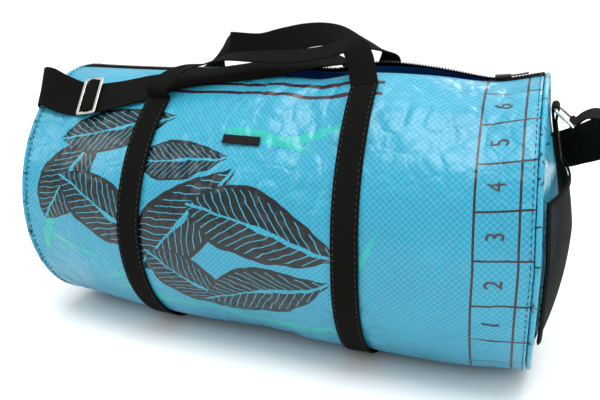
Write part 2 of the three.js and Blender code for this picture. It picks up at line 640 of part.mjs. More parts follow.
// The tabs of folded webbing that hold the rings: up the panel, round the bar and down again.
for (const [name, { panel, flatBar, along, tabBar }] of Object.entries(rings)) {
  const facing = new THREE.Vector3(panel.side, 0, 0);
  facing.addScaledVector(along, -facing.dot(along)).normalize();
  const down = flatBar.clone().cross(new THREE.Vector3(1, 0, 0)).normalize();
  if (down.z > 0) down.negate();
  const up = facing.clone().cross(along);
  if (up.dot(down) > 0) up.negate();
  const layer = (share, out) => {
    const middle = tabBar.clone().addScaledVector(down, share * TAB_LENGTH);
    return acrossPanel(panel, middle, flatBar, TAB_WEBBING_WIDTH, out);
  };
  const lowOut = 2.5 * GAP + WEBBING / 2;
  const highOut = lowOut + WEBBING + GAP;
  const rows = [
    ...[1, 0.75, 0.5, 0.25].map((share) => layer(share, lowOut)),
    ...wrapRows(tabBar, along, up, facing, -90, 90),
    ...[0.25, 0.5, 0.75, 1].map((share) => layer(share, highOut)),
  ];
  addPiece(`end_tab_${name}`, strip(rows, TAB_WEBBING_WIDTH, 1, GAP), WEBBING_FINISH);
}

// The shoulder strap: round the left ring's bar, over the top, and round the right ring's bar.
const { left: leftRing, right: rightRing } = rings;
function wrapBar({ strapBar, along, towards, facing }, turned, from, to) {
  const across = along.clone().multiplyScalar(turned);
  return wrapRows(strapBar, across, towards.clone().negate(), facing, from, to);
}
const leftWrap = wrapBar(leftRing, 1, -110, 110);
const rightWrap = wrapBar(rightRing, -1, 110, -110);
const airRows = smoothRows([leftWrap.at(-1), ...routeRows(SHOULDER_ROUTE), rightWrap[0]], 80);
const shoulderRows = [...leftWrap.slice(0, -1), ...airRows, ...rightWrap.slice(1)];
addPiece('shoulder_strap', strip(shoulderRows, SHOULDER_WEBBING_WIDTH, 2, STRAP_CLEARANCE),
  WEBBING_FINISH);

// The slider lying on the shoulder strap: a steel plate with two slots, and over the bar between
// them the webbing that runs through it. A place on it is a way along the strap, a way across it
// and a height over the middle of the webbing.
const sliderRow = shoulderRows.findIndex((row) => row.centre.x > SLIDER_PLACE * BODY_LENGTH);
const resting = STRAP_CLEARANCE + WEBBING / 2;
const [sliderBefore, sliderMiddle, sliderAfter] = [-1, 0, 1].map(
  (k) => clearOfBody(shoulderRows[sliderRow + k].centre.clone(), resting),
);
const sliderAlong = sliderAfter.sub(sliderBefore).normalize();
const sliderAcross = shoulderRows[sliderRow].across.clone();
sliderAcross.addScaledVector(sliderAlong, -sliderAcross.dot(sliderAlong)).normalize();
if (sliderAlong.clone().cross(sliderAcross).z < 0) sliderAcross.negate();
const sliderFrame = new THREE.Matrix4().makeBasis(
  sliderAlong,
  sliderAcross,
  sliderAlong.clone().cross(sliderAcross),
).setPosition(sliderMiddle);

function rectangle(fromU, toU, halfV, corner) {
  const path = new THREE.Path();
  path.moveTo(fromU + corner, -halfV);
  path.lineTo(toU - corner, -halfV);
  path.quadraticCurveTo(toU, -halfV, toU, -halfV + corner);
  path.lineTo(toU, halfV - corner);
  path.quadraticCurveTo(toU, halfV, toU - corner, halfV);
  path.lineTo(fromU + corner, halfV);
  path.quadraticCurveTo(fromU, halfV, fromU, halfV - corner);
  path.lineTo(fromU, -halfV + corner);
  path.quadraticCurveTo(fromU, -halfV, fromU + corner, -halfV);
  return path.getPoints(2);
}
const slotHalf = SHOULDER_WEBBING_WIDTH / 2 + GAP;
const plateHalf = SLIDER_LENGTH / 2;
const plate = new THREE.Shape(rectangle(-plateHalf, plateHalf, slotHalf + SLIDER_BAR, SLIDER_BAR));
const slotEdges = [SLIDER_BAR / 2, plateHalf - SLIDER_BAR];
for (const [from, to] of [slotEdges, [-slotEdges[1], -slotEdges[0]]]) {
  plate.holes.push(new THREE.Path(rectangle(from, to, slotHalf, 1)));
}
const plateBlock = new THREE.ExtrudeGeometry(plate, { depth: SLIDER_THICKNESS, bevelEnabled: false });
plateBlock.deleteAttribute('normal');
plateBlock.deleteAttribute('uv');
const plateHeight = WEBBING / 2 + 6 * GAP;
plateBlock.translate(0, 0, plateHeight).applyMatrix4(sliderFrame);
addPiece('strap_slider', mergeVertices(plateBlock), STEEL_FINISH);

const bridgeTop = plateHeight + SLIDER_THICKNESS + GAP + WEBBING / 2;
const bridgeFoot = WEBBING + 3 * GAP;
const bridgeReach = plateHalf - SLIDER_BAR - WEBBING / 2 - GAP / 2;
const bridge = [[-bridgeReach, bridgeFoot], [-SLIDER_BAR / 2 - GAP, bridgeTop],
  [SLIDER_BAR / 2 + GAP, bridgeTop], [bridgeReach, bridgeFoot]];
const bridgeRows = bridge.map(([u, height]) => ({
  centre: new THREE.Vector3(u, 0, height).applyMatrix4(sliderFrame),
  across: sliderAcross.clone(),
}));
addPiece('strap_bridge', strip(bridgeRows, SHOULDER_WEBBING_WIDTH, 1, GAP), WEBBING_FINISH);

// The bare label sewn flat on the front of the body.
const labelReach = LABEL_WIDTH / 2 / BODY_LENGTH;
const labelRise = THREE.MathUtils.radToDeg(LABEL_HEIGHT / END_DIAMETER);
const labelGrid = (out) => [-1, 0, 1].map((u) => [-1, 1].map(
  (v) => onBody(LABEL.along + u * labelReach, LABEL.angle + v * labelRise, GAP + out),
));
addPiece('side_label', wall(labelGrid(LABEL_THICKNESS), labelGrid(0)), WEBBING_FINISH);

// The origin goes under the middle of the box, on the floor.
bag.updateMatrixWorld(true);
const box = new THREE.Box3().setFromObject(bag);
const boxMiddle = box.getCenter(new THREE.Vector3());
bag.position.set(-boxMiddle.x, -boxMiddle.y, -box.min.z);

export default bag;
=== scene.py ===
# %% [markdown]
# # Gym bag
# A soft barrel bag, sewn from the cloth of a laminated woven sack. Two rings of black webbing go
# round the barrel and rise from it as the carrying handles. A wider strap with a steel slider runs
# from end to end, and the right end has a pocket of net.
#
# Each step is a short cell. First come the frame and the sizes, then the helpers, the finishes,
# the pieces one by one, and last the floor, the light and the camera.

# %% The frame
import math

import bmesh
import bpy
import numpy as np
from mathutils import Matrix, Vector, noise


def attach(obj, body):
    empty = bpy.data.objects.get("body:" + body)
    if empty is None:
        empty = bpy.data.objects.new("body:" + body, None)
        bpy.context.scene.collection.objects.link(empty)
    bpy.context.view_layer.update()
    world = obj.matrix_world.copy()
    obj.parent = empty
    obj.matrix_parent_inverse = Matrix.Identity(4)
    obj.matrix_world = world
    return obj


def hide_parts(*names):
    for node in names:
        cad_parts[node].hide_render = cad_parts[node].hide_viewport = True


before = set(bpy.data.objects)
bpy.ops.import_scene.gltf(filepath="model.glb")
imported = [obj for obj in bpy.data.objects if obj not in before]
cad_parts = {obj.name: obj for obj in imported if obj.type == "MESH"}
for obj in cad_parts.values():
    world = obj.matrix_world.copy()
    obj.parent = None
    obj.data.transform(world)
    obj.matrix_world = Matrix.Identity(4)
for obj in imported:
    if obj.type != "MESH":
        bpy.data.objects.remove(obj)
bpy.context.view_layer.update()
print("CAD nodes:", ", ".join(sorted(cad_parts)))

# %% [markdown]
# ## The shape of the barrel
# The real barrel is one sheet of cloth, rolled and sewn to two round ends, so it sags, leans and
# dents. It could be sculpted, but then the straps would have to be fitted to it by eye. Here it is
# a formula, the same as in the CAD: sections along the barrel and a table of dents. Everything sewn
# to the cloth is placed by the same formula, so nothing floats or sinks in.

# %% Sizes
LENGTH, DIAMETER = 0.500, 0.276
CLOTH, FLATTENING, BLEND = 0.0016, 0.006, 0.003
WEBBING, GAP, PIPING, WIRE = 0.0018, 0.0004, 0.005, 0.003
BASE = WEBBING + GAP
# What the CAD adds to put its origin under the middle of the bag.
ORIGIN = np.array([-0.020027, -0.011044, 0.0])

# %% Sections and dents
# Columns: share of the length, then shares of the diameter: girth, bend to the back, lift off the
# floor, crest of the lips, lean of the top.
BODY_SECTIONS = np.array([
    (0.00, 0.944, 0.108, 0.024, 0.000, 0.000),
    (0.12, 0.956, 0.084, 0.010, 0.004, 0.014),
    (0.26, 0.962, 0.058, -0.003, 0.018, 0.026),
    (0.40, 0.948, 0.026, 0.010, 0.034, 0.012),
    (0.52, 0.938, 0.006, 0.018, 0.050, -0.008),
    (0.61, 0.941, 0.002, -0.002, 0.072, -0.018),
    (0.69, 0.950, 0.000, -0.002, 0.088, -0.026),
    (0.80, 0.974, 0.000, -0.002, 0.050, -0.030),
    (0.92, 0.998, 0.000, 0.002, -0.004, -0.030),
    (1.00, 1.000, 0.000, 0.022, 0.000, -0.030),
])
# Columns: share of the length, degrees from the bottom, length, spread, turn, depth.
DENTS = (
    (0.890, 138, 0.050, 7, 38, 0.012),
    (0.930, 96, 0.030, 34, 4, 0.008),
    (0.600, 136, 0.045, 16, -24, 0.010),
    (0.480, 128, 0.070, 10, 18, 0.008),
    (0.120, 112, 0.050, 20, 30, 0.010),
    (0.060, 60, 0.040, 22, -20, 0.010),
    (0.820, 50, 0.060, 12, 12, 0.007),
    (0.450, 56, 0.080, 12, -14, 0.008),
    (0.130, -110, 0.060, 22, -24, 0.012),
    (0.480, -96, 0.090, 18, 16, 0.012),
    (0.860, -100, 0.060, 16, -30, 0.011),
)

# %% A smooth value of a section
def column(k, at):
    """A smooth value of one column of the sections, at places along the barrel."""
    xs, ys = BODY_SECTIONS[:, 0], BODY_SECTIONS[:, k]
    last = len(xs) - 1
    low, high = np.maximum(np.arange(last + 1) - 1, 0), np.minimum(np.arange(last + 1) + 1, last)
    slopes = (ys[high] - ys[low]) / (xs[high] - xs[low])
    i = np.clip(np.searchsorted(xs, at, side="left") - 1, 0, last - 1)
    span = xs[i + 1] - xs[i]
    s = np.clip((at - xs[i]) / span, 0, 1)
    return (ys[i] * (2 * s**3 - 3 * s**2 + 1) + ys[i + 1] * (3 * s**2 - 2 * s**3)
            + slopes[i] * span * (s**3 - 2 * s**2 + s) + slopes[i + 1] * span * (s**3 - s**2))


def body_centre(along):
    """The axis of the barrel."""
    radius = column(1, along) * DIAMETER / 2
    lift = np.maximum(0, column(3, along)) * DIAMETER
    height = BASE + lift + radius - FLATTENING
    return np.stack([(along - 0.5) * LENGTH, column(2, along) * DIAMETER, height], -1)


# %% Where the cloth is
def body_face(along, angle):
    """The cloth's outer face. The angle is in degrees from the bottom, positive to the front."""
    along, angle = np.broadcast_arrays(np.asarray(along, float), np.asarray(angle, float))
    radius = column(1, along) * DIAMETER / 2
    depth = np.zeros_like(along)
    for place, middle, length, spread, turn, deep in DENTS:
        c, s = math.cos(math.radians(turn)), math.sin(math.radians(turn))
        u, v = (along - place) / length, (angle - middle) / spread
        far = np.hypot(u * c + v * s, v * c - u * s) / 2
        depth += deep * DIAMETER * np.maximum(0, 1 - far**2) ** 2
    reach = radius - depth
    a = np.radians(angle)
    top = np.maximum(0, -np.cos(a))
    height = radius - FLATTENING - reach * np.cos(a) + column(4, along) * DIAMETER * top**4
    settled = np.where(height > BLEND, height, np.maximum(0, height + BLEND) ** 2 / (4 * BLEND))
    centre = body_centre(along)
    lift = np.maximum(0, column(3, along)) * DIAMETER
    return np.stack([centre[..., 0] + column(5, along) * DIAMETER * top,
                     centre[..., 1] - reach * np.sin(a), BASE + lift + settled], -1)


def on_body(along, angle, out=0.0):
    """A point at a distance outside the cloth."""
    du = body_face(along + 0.002, angle) - body_face(along - 0.002, angle)
    dv = body_face(along, angle + 0.5) - body_face(along, angle - 0.5)
    normal = np.cross(du, dv)
    normal /= np.linalg.norm(normal, axis=-1, keepdims=True)
    return body_face(along, angle) + normal * np.asarray(out)[..., None]
print("middle of the front of the cloth:", body_face(0.5, 90).round(3))

# %% [markdown]
# ## The slit and the end panels
# The cloth is slit along the top for the zip. The slit is a thin line where the zip is shut, and
# opens like a lens where it isn't. Each end is a round of the same cloth that bulges a little and
# is slack at its top.

# %% Slit and end panels
OPENING_START, OPENING_END, TAPE, OPENING = 0.30, 0.93, 0.013, 0.046
RADIUS = DIAMETER / 2
BULGE = {-1: 0.024, 1: 0.016}
TOP_SLACKNESS = 0.45


def opening_share(along):
    """How far along the open part of the zip a place is."""
    return np.clip((along - OPENING_START) / (OPENING_END - OPENING_START), 0, 1)


def slit_angle(along, tape):
    """Degrees from the top to the lip of the cloth, or to the zip where tape is 0."""
    half = tape + GAP / 2 + np.sin(np.pi * opening_share(along)) * OPENING / 2
    return np.degrees(half / RADIUS)


def end_of(side):
    """The share of the length at an end: side is -1 for the left one and 1 for the right one."""
    return np.array(0.0 if side < 0 else 1.0)


def on_panel(side, rho, angle, out=0.0):
    """A point on an end panel: a share of the way from its middle to its edge, at an angle."""
    centre = body_centre(end_of(side))
    edge = body_face(end_of(side), angle) - centre
    reach = np.linalg.norm(edge, axis=-1)
    point = centre + edge * (rho * (1 - (PIPING + GAP) / reach))[..., None]
    up = np.maximum(0, (point[..., 2] - centre[2]) / reach)
    point[..., 0] += side * (GAP + CLOTH + BULGE[side] * (1 - rho**2) * (1 - TOP_SLACKNESS * up) + out)
    return point


def over_panel(side, y, z, out):
    """The same from a place in depth and height, for what is sewn to the panel."""
    centre = body_centre(end_of(side))
    angle = np.degrees(np.arctan2(centre[1] - y, centre[2] - z))
    edge = np.linalg.norm(body_face(end_of(side), angle) - centre, axis=-1) - PIPING - GAP
    rho = np.minimum(1, np.hypot(centre[1] - y, centre[2] - z) / edge)
    return np.stack([on_panel(side, rho, angle, out)[..., 0], y, z], -1)


print("tops of the end panels:", on_panel(-1, np.array(1.0), 180).round(3),
      on_panel(1, np.array(1.0), 180).round(3))

# %% [markdown]
# ## How loose webbing lies
# A loose strap lies on what is under it and never goes through. A cloth simulation could drop it
# there, but then it wouldn't lie where the photograph shows it. So the strap follows a drawn route,
# and each of its points is moved out of the bag where the route dips into it.

# %% Off the barrel
def unit(vectors):
    """Vectors made one metre long."""
    return vectors / np.linalg.norm(vectors, axis=-1, keepdims=True)


def clear_of_cloth(points, clearance):
    """Points, moved to a clearance outside the barrel's cloth where they are nearer."""
    along = points[:, 0] / LENGTH + 0.5
    centre = body_centre(np.clip(along, 0, 1))
    angle = np.degrees(np.arctan2(centre[:, 1] - points[:, 1], centre[:, 2] - points[:, 2]))
    for _ in range(8):
        face = body_face(along, angle)
        du = (body_face(along + 0.004, angle) - face) / 0.004
        dv = body_face(along, angle + 1) - face
        miss = points - face
        out = (miss * unit(np.cross(du, dv))).sum(-1)
        along = along + (miss * du).sum(-1) / (du**2).sum(-1)
        angle = angle + np.clip((miss * dv).sum(-1) / (dv**2).sum(-1), -20, 20)
    return np.where((out < clearance)[:, None], on_body(along, angle, clearance), points)


# %% Off the ends
def clear_of_bag(points, clearance):
    """The same beyond the barrel's ends too, where the piping and the end panel are in the way."""
    moved = clear_of_cloth(points, clearance)
    for side in (-1, 1):
        centre = body_centre(end_of(side))
        angle = np.degrees(np.arctan2(centre[1] - points[:, 1], centre[2] - points[:, 2]))
        rim = body_face(end_of(side), angle)
        beyond = ((points[:, 0] - rim[:, 0]) * side >= 0) & (points[:, 0] * side > 0)
        reach = np.linalg.norm((rim - centre)[:, 1:], axis=-1)
        here = np.linalg.norm((points - centre)[:, 1:], axis=-1)
        inside = reach + clearance - here
        piped = rim[:, 0] + side * (GAP + PIPING + clearance)
        panel = over_panel(side, points[:, 1], points[:, 2], clearance)[:, 0]
        face = np.where(here < reach - PIPING - GAP - clearance, panel, piped)
        short = (face - points[:, 0]) * side
        pushed = points.copy()
        pushed[:, 0] = face
        outwards = (points - centre) * (0, 1, 1)
        lifted = points + unit(outwards) * inside[:, None]
        clash = (inside > 0) & (short > 0)
        fixed = np.where((clash & (inside > short))[:, None], pushed,
                         np.where(clash[:, None], lifted, points))
        moved = np.where(beyond[:, None], fixed, moved)
    return moved


# %% A smooth route
def smooth_rows(centres, across, steps):
    """Even steps along a smooth curve through rows of webbing, each a centre and a width's way."""
    points = np.vstack([2 * centres[0] - centres[1], centres, 2 * centres[-1] - centres[-2]])
    gaps = np.sqrt(np.linalg.norm(np.diff(points, axis=0), axis=1))
    s = np.linspace(0, 1, 24, endpoint=False)[:, None]
    fine = []
    for i in range(1, len(points) - 2):
        p0, p1, p2, p3 = points[i - 1:i + 3]
        d0, d1, d2 = gaps[i - 1:i + 2]
        t1 = ((p1 - p0) / d0 - (p2 - p0) / (d0 + d1) + (p2 - p1) / d1) * d1
        t2 = ((p2 - p1) / d1 - (p3 - p1) / (d1 + d2) + (p3 - p2) / d2) * d1
        fine.append(p1 + t1 * s + (3 * (p2 - p1) - 2 * t1 - t2) * s**2
                    + (2 * (p1 - p2) + t1 + t2) * s**3)
    fine = np.vstack(fine + [centres[-1:]])
    way = np.append(0, np.cumsum(np.linalg.norm(np.diff(fine, axis=0), axis=1)))
    marks = np.append(0, np.cumsum(np.linalg.norm(np.diff(centres, axis=0), axis=1)))
    even = np.linspace(0, 1, steps + 1)
    spots = np.stack([np.interp(even * way[-1], way, fine[:, k]) for k in range(3)], -1)
    turned = np.stack([np.interp(even * marks[-1], marks, across[:, k]) for k in range(3)], -1)
    return spots, unit(turned)


# %% [markdown]
# ## Helpers that make pieces
# Cloth and webbing start flat, so each of them starts here as a flat grid. Its pattern is laid on
# while it is flat, in real metres, and then its points are moved to where the cloth lies. Solidify
# gives it its thickness and Bevel takes the sharpness off its edges.

# %% A sheet
def sheet(columns, rows, place, pattern, turned=False, closed=False):
    """A flat grid, with its pattern in metres, that place(u, v) lays on the bag. u and v are 0 to 1."""
    bm = bmesh.new()
    bmesh.ops.create_grid(bm, x_segments=columns, y_segments=rows, size=0.5)
    layer = bm.loops.layers.uv.new("pattern")
    flat = np.array([v.co[:2] for v in bm.verts], float) + 0.5
    bm.verts.index_update()
    spots = place(flat[:, 0], flat[:, 1]) + ORIGIN
    marks = np.stack(np.broadcast_arrays(*pattern(flat[:, 0], flat[:, 1])), -1)
    for face in bm.faces:
        for loop in face.loops:
            loop[layer].uv = marks[loop.vert.index]
    for vertex, spot in zip(bm.verts, spots):
        vertex.co = spot
    if closed:
        bmesh.ops.remove_doubles(bm, verts=bm.verts, dist=1e-6)
    if turned:
        bmesh.ops.reverse_faces(bm, faces=bm.faces)
    return bm


# %% A piece
def piece(name, bm, finishes, nodes=(), wall=0.0, offset=-1.0, rounding=0.0):
    """An object from a bmesh. It rides on the bag and stands for its CAD nodes."""
    mesh = bpy.data.meshes.new(name)
    bm.to_mesh(mesh)
    bm.free()
    mesh.shade_smooth()
    made = bpy.data.objects.new(name, mesh)
    bpy.context.collection.objects.link(made)
    for finish in finishes:
        mesh.materials.append(finish)
    if wall:
        solid = made.modifiers.new("wall", "SOLIDIFY")
        solid.thickness, solid.offset = wall, offset
        solid.material_offset = len(finishes) - 1
    if rounding:
        edge = made.modifiers.new("rounding", "BEVEL")
        edge.width, edge.segments, edge.angle_limit = rounding, 2, math.radians(40)
    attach(made, "root")
    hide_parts(*nodes)
    print(f"{name}: {len(mesh.polygons)} faces")
    return made


# %% A thread
def thread(bm, path, pitch, length, thickness=0.0007):
    """Stitches along a path: small rounded grains that lie along it, a pitch apart."""
    way = np.append(0, np.cumsum(np.linalg.norm(np.diff(path, axis=0), axis=1)))
    for at in np.arange(pitch / 2, way[-1], pitch):
        ends = [np.array([np.interp(at + k * length / 2, way, path[:, j]) for j in range(3)])
                for k in (-1, 1)]
        middle = Vector((ends[0] + ends[1]) / 2 + ORIGIN)
        middle.z = max(middle.z, thickness)
        turn = Vector(ends[1] - ends[0]).to_track_quat("X", "Z").to_matrix().to_4x4()
        size = Matrix.Diagonal((length / 2, thickness, thickness, 1))
        bmesh.ops.create_icosphere(bm, subdivisions=1, radius=1,
                                   matrix=Matrix.Translation(middle) @ turn @ size)


# %% [markdown]
# ## Finishes
# Colours are written as sRGB hex, as one reads them off a picture, and one function turns them to
# the linear values that Blender adds up. One more small function adds a node with its settings and
# its links, so that each finish reads as a list of what it is made of.

# %% Colours and nodes
def linear(code):
    """An sRGB hex colour as linear values."""
    parts = [int(code[k:k + 2], 16) / 255 for k in (0, 2, 4)]
    return tuple(p / 12.92 if p < 0.04045 else ((p + 0.055) / 1.055) ** 2.4 for p in parts) + (1,)


def add(tree, kind, sockets, **settings):
    """A node with its settings; sockets are given values or linked. Returns its outputs."""
    node = tree.nodes.new(kind)
    for name, value in settings.items():
        setattr(node, name, value)
    for key, value in sockets.items():
        if isinstance(value, bpy.types.NodeSocket):
            tree.links.new(value, node.inputs[key])
        else:
            node.inputs[key].default_value = value
    return node.outputs


def start(name, roughness, **values):
    """A new material with the values of its shader that are the same all over."""
    material = bpy.data.materials.new(name)
    material.use_nodes = True
    shader = material.node_tree.nodes["Principled BSDF"]
    shader.inputs["Roughness"].default_value = roughness
    for key, value in values.items():
        shader.inputs[key.replace("_", " ")].default_value = value
    return material, material.node_tree, shader


# %% [markdown]
# ## The printed sack cloth
# Sack cloth is woven from flat polypropylene tapes about 3 mm wide and laminated with a clear film
# that carries the print. The film makes it glossy, and it creases sharply where it was folded. The
# weave shows through as small squares that are alternately over and under.
#
# The print could be an image, but a drawn one stays sharp at any size. Each dark leaf is one stamp,
# a node group, laid on the cloth's pattern in metres. The stamp draws its outline from a parabola
# and leaves its ribs blue.

# %% A stamp of one leaf
leaf = bpy.data.node_groups.new("printed_leaf", "ShaderNodeTree")
leaf.interface.new_socket("Place", in_out="INPUT", socket_type="NodeSocketVector")
leaf.interface.new_socket("Under", in_out="INPUT", socket_type="NodeSocketFloat")
leaf.interface.new_socket("Ink", in_out="OUTPUT", socket_type="NodeSocketFloat")
given = leaf.nodes.new("NodeGroupInput").outputs
wobble = add(leaf, "ShaderNodeTexNoise", {"Vector": given["Place"], "Scale": 2.2, "Detail": 1.0})
x, y, _ = add(leaf, "ShaderNodeSeparateXYZ", {0: given["Place"]})
y = add(leaf, "ShaderNodeMath", {0: wobble[0], 1: 0.34, 2: y}, operation="MULTIPLY_ADD")[0]
y = add(leaf, "ShaderNodeMath", {0: y, 1: 0.17}, operation="SUBTRACT")[0]
far = add(leaf, "ShaderNodeMath", {0: y}, operation="ABSOLUTE")[0]
square = add(leaf, "ShaderNodeMath", {0: x, 1: x}, operation="MULTIPLY")[0]
width = add(leaf, "ShaderNodeMath", {0: 1.0, 1: square}, operation="SUBTRACT")[0]
heel = add(leaf, "ShaderNodeMath", {0: x, 1: -0.45, 2: 1.0}, operation="MULTIPLY_ADD")[0]
heel = add(leaf, "ShaderNodeMath", {0: heel, 1: 0.0}, operation="MAXIMUM")[0]
width = add(leaf, "ShaderNodeMath", {0: width, 1: heel}, operation="MULTIPLY")[0]
inside = add(leaf, "ShaderNodeMath", {0: far, 1: width}, operation="LESS_THAN")[0]
margin = add(leaf, "ShaderNodeMath", {0: width, 1: 0.86}, operation="MULTIPLY")[0]
within = add(leaf, "ShaderNodeMath", {0: far, 1: margin}, operation="LESS_THAN")[0]
midrib = add(leaf, "ShaderNodeMath", {0: far, 1: 0.045}, operation="LESS_THAN")[0]
slant = add(leaf, "ShaderNodeMath", {0: far, 1: 0.42, 2: x}, operation="MULTIPLY_ADD")[0]
beat = add(leaf, "ShaderNodeMath", {0: slant, 1: 0.062}, operation="PINGPONG")[0]
rib = add(leaf, "ShaderNodeMath", {0: beat, 1: 0.0085}, operation="LESS_THAN")[0]
rib = add(leaf, "ShaderNodeMath", {0: rib, 1: within}, operation="MULTIPLY")[0]
bare = add(leaf, "ShaderNodeMath", {0: rib, 1: midrib}, operation="MAXIMUM")[0]
ink = add(leaf, "ShaderNodeMath", {0: 1.0, 1: bare}, operation="SUBTRACT")[0]
mixed = add(leaf, "ShaderNodeMix", {0: inside, 2: given["Under"], 3: ink})[0]
add(leaf, "NodeGroupOutput", {"Ink": mixed})
print("printed_leaf:", len(leaf.nodes), "nodes")

# %% [markdown]
# ## The finish of the sack cloth
# Places are metres along the barrel and metres round it from its lowest line. The dark leaves are
# on the front at the left, with blades of green, and a ladder of thin dark red lines runs round the
# cloth near the right end. Two plain stripes lie along the opening. The cloth of the ends has thin
# dark lines alone, as cells of about 34 mm.

# %% Leaves, blades and inks
# Middle along and round, turn in degrees, half length and half width.
DARK_LEAVES = (
    (0.052, 0.262, 62, 0.062, 0.026), (0.098, 0.318, 18, 0.066, 0.024),
    (0.104, 0.226, -28, 0.072, 0.029), (0.178, 0.292, 8, 0.052, 0.020),
    (0.186, 0.232, 48, 0.078, 0.034), (0.268, 0.234, -12, 0.080, 0.034),
    (0.196, 0.160, -36, 0.064, 0.026), (0.268, 0.166, 22, 0.072, 0.029),
)
GREEN_BLADES = (
    (0.262, 0.322, -6, 0.052, 0.0055), (0.318, 0.334, 16, 0.040, 0.0040),
    (0.028, 0.205, 70, 0.048, 0.0040), (0.060, 0.180, -14, 0.052, 0.0024),
    (0.120, 0.165, 30, 0.050, 0.0026), (0.150, 0.130, -8, 0.060, 0.0042),
    (0.300, 0.120, 12, 0.060, 0.0044), (0.236, 0.112, -20, 0.050, 0.0022),
    (0.010, 0.330, 55, 0.036, 0.0020), (0.355, 0.205, 64, 0.052, 0.0034),
)
BLUE, DEEP_BLUE, INK, GREEN, RED = "1490aa", "0c7896", "060f11", "18a294", "2a111c"
RAILS, RUNG_STEP, RUNG_START, RUNG_REACH = (0.4535, 0.4885), 0.0405, 0.0241, (0.477, 0.0235)
STRIPES, STRIPE_REACH, TAPE_PITCH = (0.372, 0.386), (0.235, 0.13), 0.0028
print("leaves and blades:", len(DARK_LEAVES), len(GREEN_BLADES))


# %% Sack cloth
def sack_cloth(name, printed):
    """Laminated woven polypropylene: glossy film, tapes 2.8 mm wide, sharp creases."""
    material, tree, shader = start(name, 0.33, Specular_IOR_Level=0.32, Coat_Weight=0.2,
                                   Coat_Roughness=0.2)
    places = add(tree, "ShaderNodeUVMap", {}, uv_map="pattern")[0]
    along, around, _ = add(tree, "ShaderNodeSeparateXYZ", {0: places})
    cloud = add(tree, "ShaderNodeTexNoise", {"Vector": places, "Scale": 14.0, "Detail": 4.0})
    colour = add(tree, "ShaderNodeMix", {0: cloud[0], 6: linear(DEEP_BLUE), 7: linear(BLUE)},
                 data_type="RGBA")[2]
    squares = add(tree, "ShaderNodeTexChecker", {"Vector": places, "Scale": 1 / TAPE_PITCH})[1]
    tint = add(tree, "ShaderNodeMath", {0: squares, 1: 0.07}, operation="MULTIPLY")[0]
    colour = add(tree, "ShaderNodeMix", {0: tint, 6: colour, 7: linear("bfe9f5")},
                 data_type="RGBA")[2]
    if printed:
        for leaves, code in ((GREEN_BLADES, GREEN), (DARK_LEAVES, INK)):
            printing = 0.0
            for u, v, turn, half_length, half_width in leaves:
                place = add(tree, "ShaderNodeMapping", {
                    "Vector": places, "Location": (u, v, 0),
                    "Rotation": (0, 0, math.radians(turn)),
                    "Scale": (half_length, half_width, 1)}, vector_type="TEXTURE")[0]
                printing = add(tree, "ShaderNodeGroup", {0: place, 1: printing},
                               node_tree=leaf)[0]
            colour = add(tree, "ShaderNodeMix", {0: printing, 6: colour, 7: linear(code)},
                         data_type="RGBA")[2]
        rails = [add(tree, "ShaderNodeMath", {0: along, 1: at, 2: 0.0010},
                     operation="COMPARE")[0] for at in RAILS]
        beat = add(tree, "ShaderNodeMath", {0: around, 1: -RUNG_START}, operation="ADD")[0]
        beat = add(tree, "ShaderNodeMath", {0: beat, 1: RUNG_STEP / 2}, operation="PINGPONG")[0]
        rung = add(tree, "ShaderNodeMath", {0: beat, 1: 0.0, 2: 0.0009}, operation="COMPARE")[0]
        span = add(tree, "ShaderNodeMath", {0: along, 1: RUNG_REACH[0], 2: RUNG_REACH[1]},
                   operation="COMPARE")[0]
        rung = add(tree, "ShaderNodeMath", {0: rung, 1: span}, operation="MULTIPLY")[0]
        stripes = [add(tree, "ShaderNodeMath", {0: around, 1: at, 2: 0.0022},
                       operation="COMPARE")[0] for at in STRIPES]
        stripe = add(tree, "ShaderNodeMath", {0: stripes[0], 1: stripes[1]}, operation="MAXIMUM")[0]
        run = add(tree, "ShaderNodeMath", {0: along, 1: STRIPE_REACH[0], 2: STRIPE_REACH[1]},
                  operation="COMPARE")[0]
        marks = add(tree, "ShaderNodeMath", {0: stripe, 1: run}, operation="MULTIPLY")[0]
        for more in (*rails, rung):
            marks = add(tree, "ShaderNodeMath", {0: marks, 1: more}, operation="MAXIMUM")[0]
        colour = add(tree, "ShaderNodeMix", {0: marks, 6: colour, 7: linear(RED)},
                     data_type="RGBA")[2]
    else:
        cells = add(tree, "ShaderNodeTexVoronoi", {"Vector": places, "Scale": 1 / 0.034},
                    feature="DISTANCE_TO_EDGE")[0]
        lines = add(tree, "ShaderNodeMath", {0: cells, 1: 0.018}, operation="LESS_THAN")[0]
        colour = add(tree, "ShaderNodeMix", {0: lines, 6: colour, 7: linear(INK)},
                     data_type="RGBA")[2]
    tree.links.new(colour, shader.inputs["Base Color"])
    warp = add(tree, "ShaderNodeTexNoise", {"Vector": places, "Scale": 30.0, "Detail": 2.0})[1]
    bent = add(tree, "ShaderNodeMix", {0: 0.018, 4: places, 5: warp}, data_type="VECTOR")[1]
    creases = add(tree, "ShaderNodeTexVoronoi", {"Vector": bent, "Scale": 1 / 0.017},
                  feature="DISTANCE_TO_EDGE")[0]
    creases = add(tree, "ShaderNodeMath", {0: creases, 1: 0.22}, operation="MINIMUM")[0]
    fold = add(tree, "ShaderNodeBump", {"Height": creases, "Strength": 0.6, "Distance": 0.004})[0]
    weave = add(tree, "ShaderNodeBump", {"Height": squares, "Normal": fold, "Strength": 0.16,
                                         "Distance": 0.0004})[0]
    tree.links.new(weave, shader.inputs["Normal"])
    return material


printed_cloth = sack_cloth("laminated_sack_cloth_printed", True)
plain_cloth = sack_cloth("laminated_sack_cloth_plain", False)
print("sack cloth:", len(printed_cloth.node_tree.nodes), "nodes")

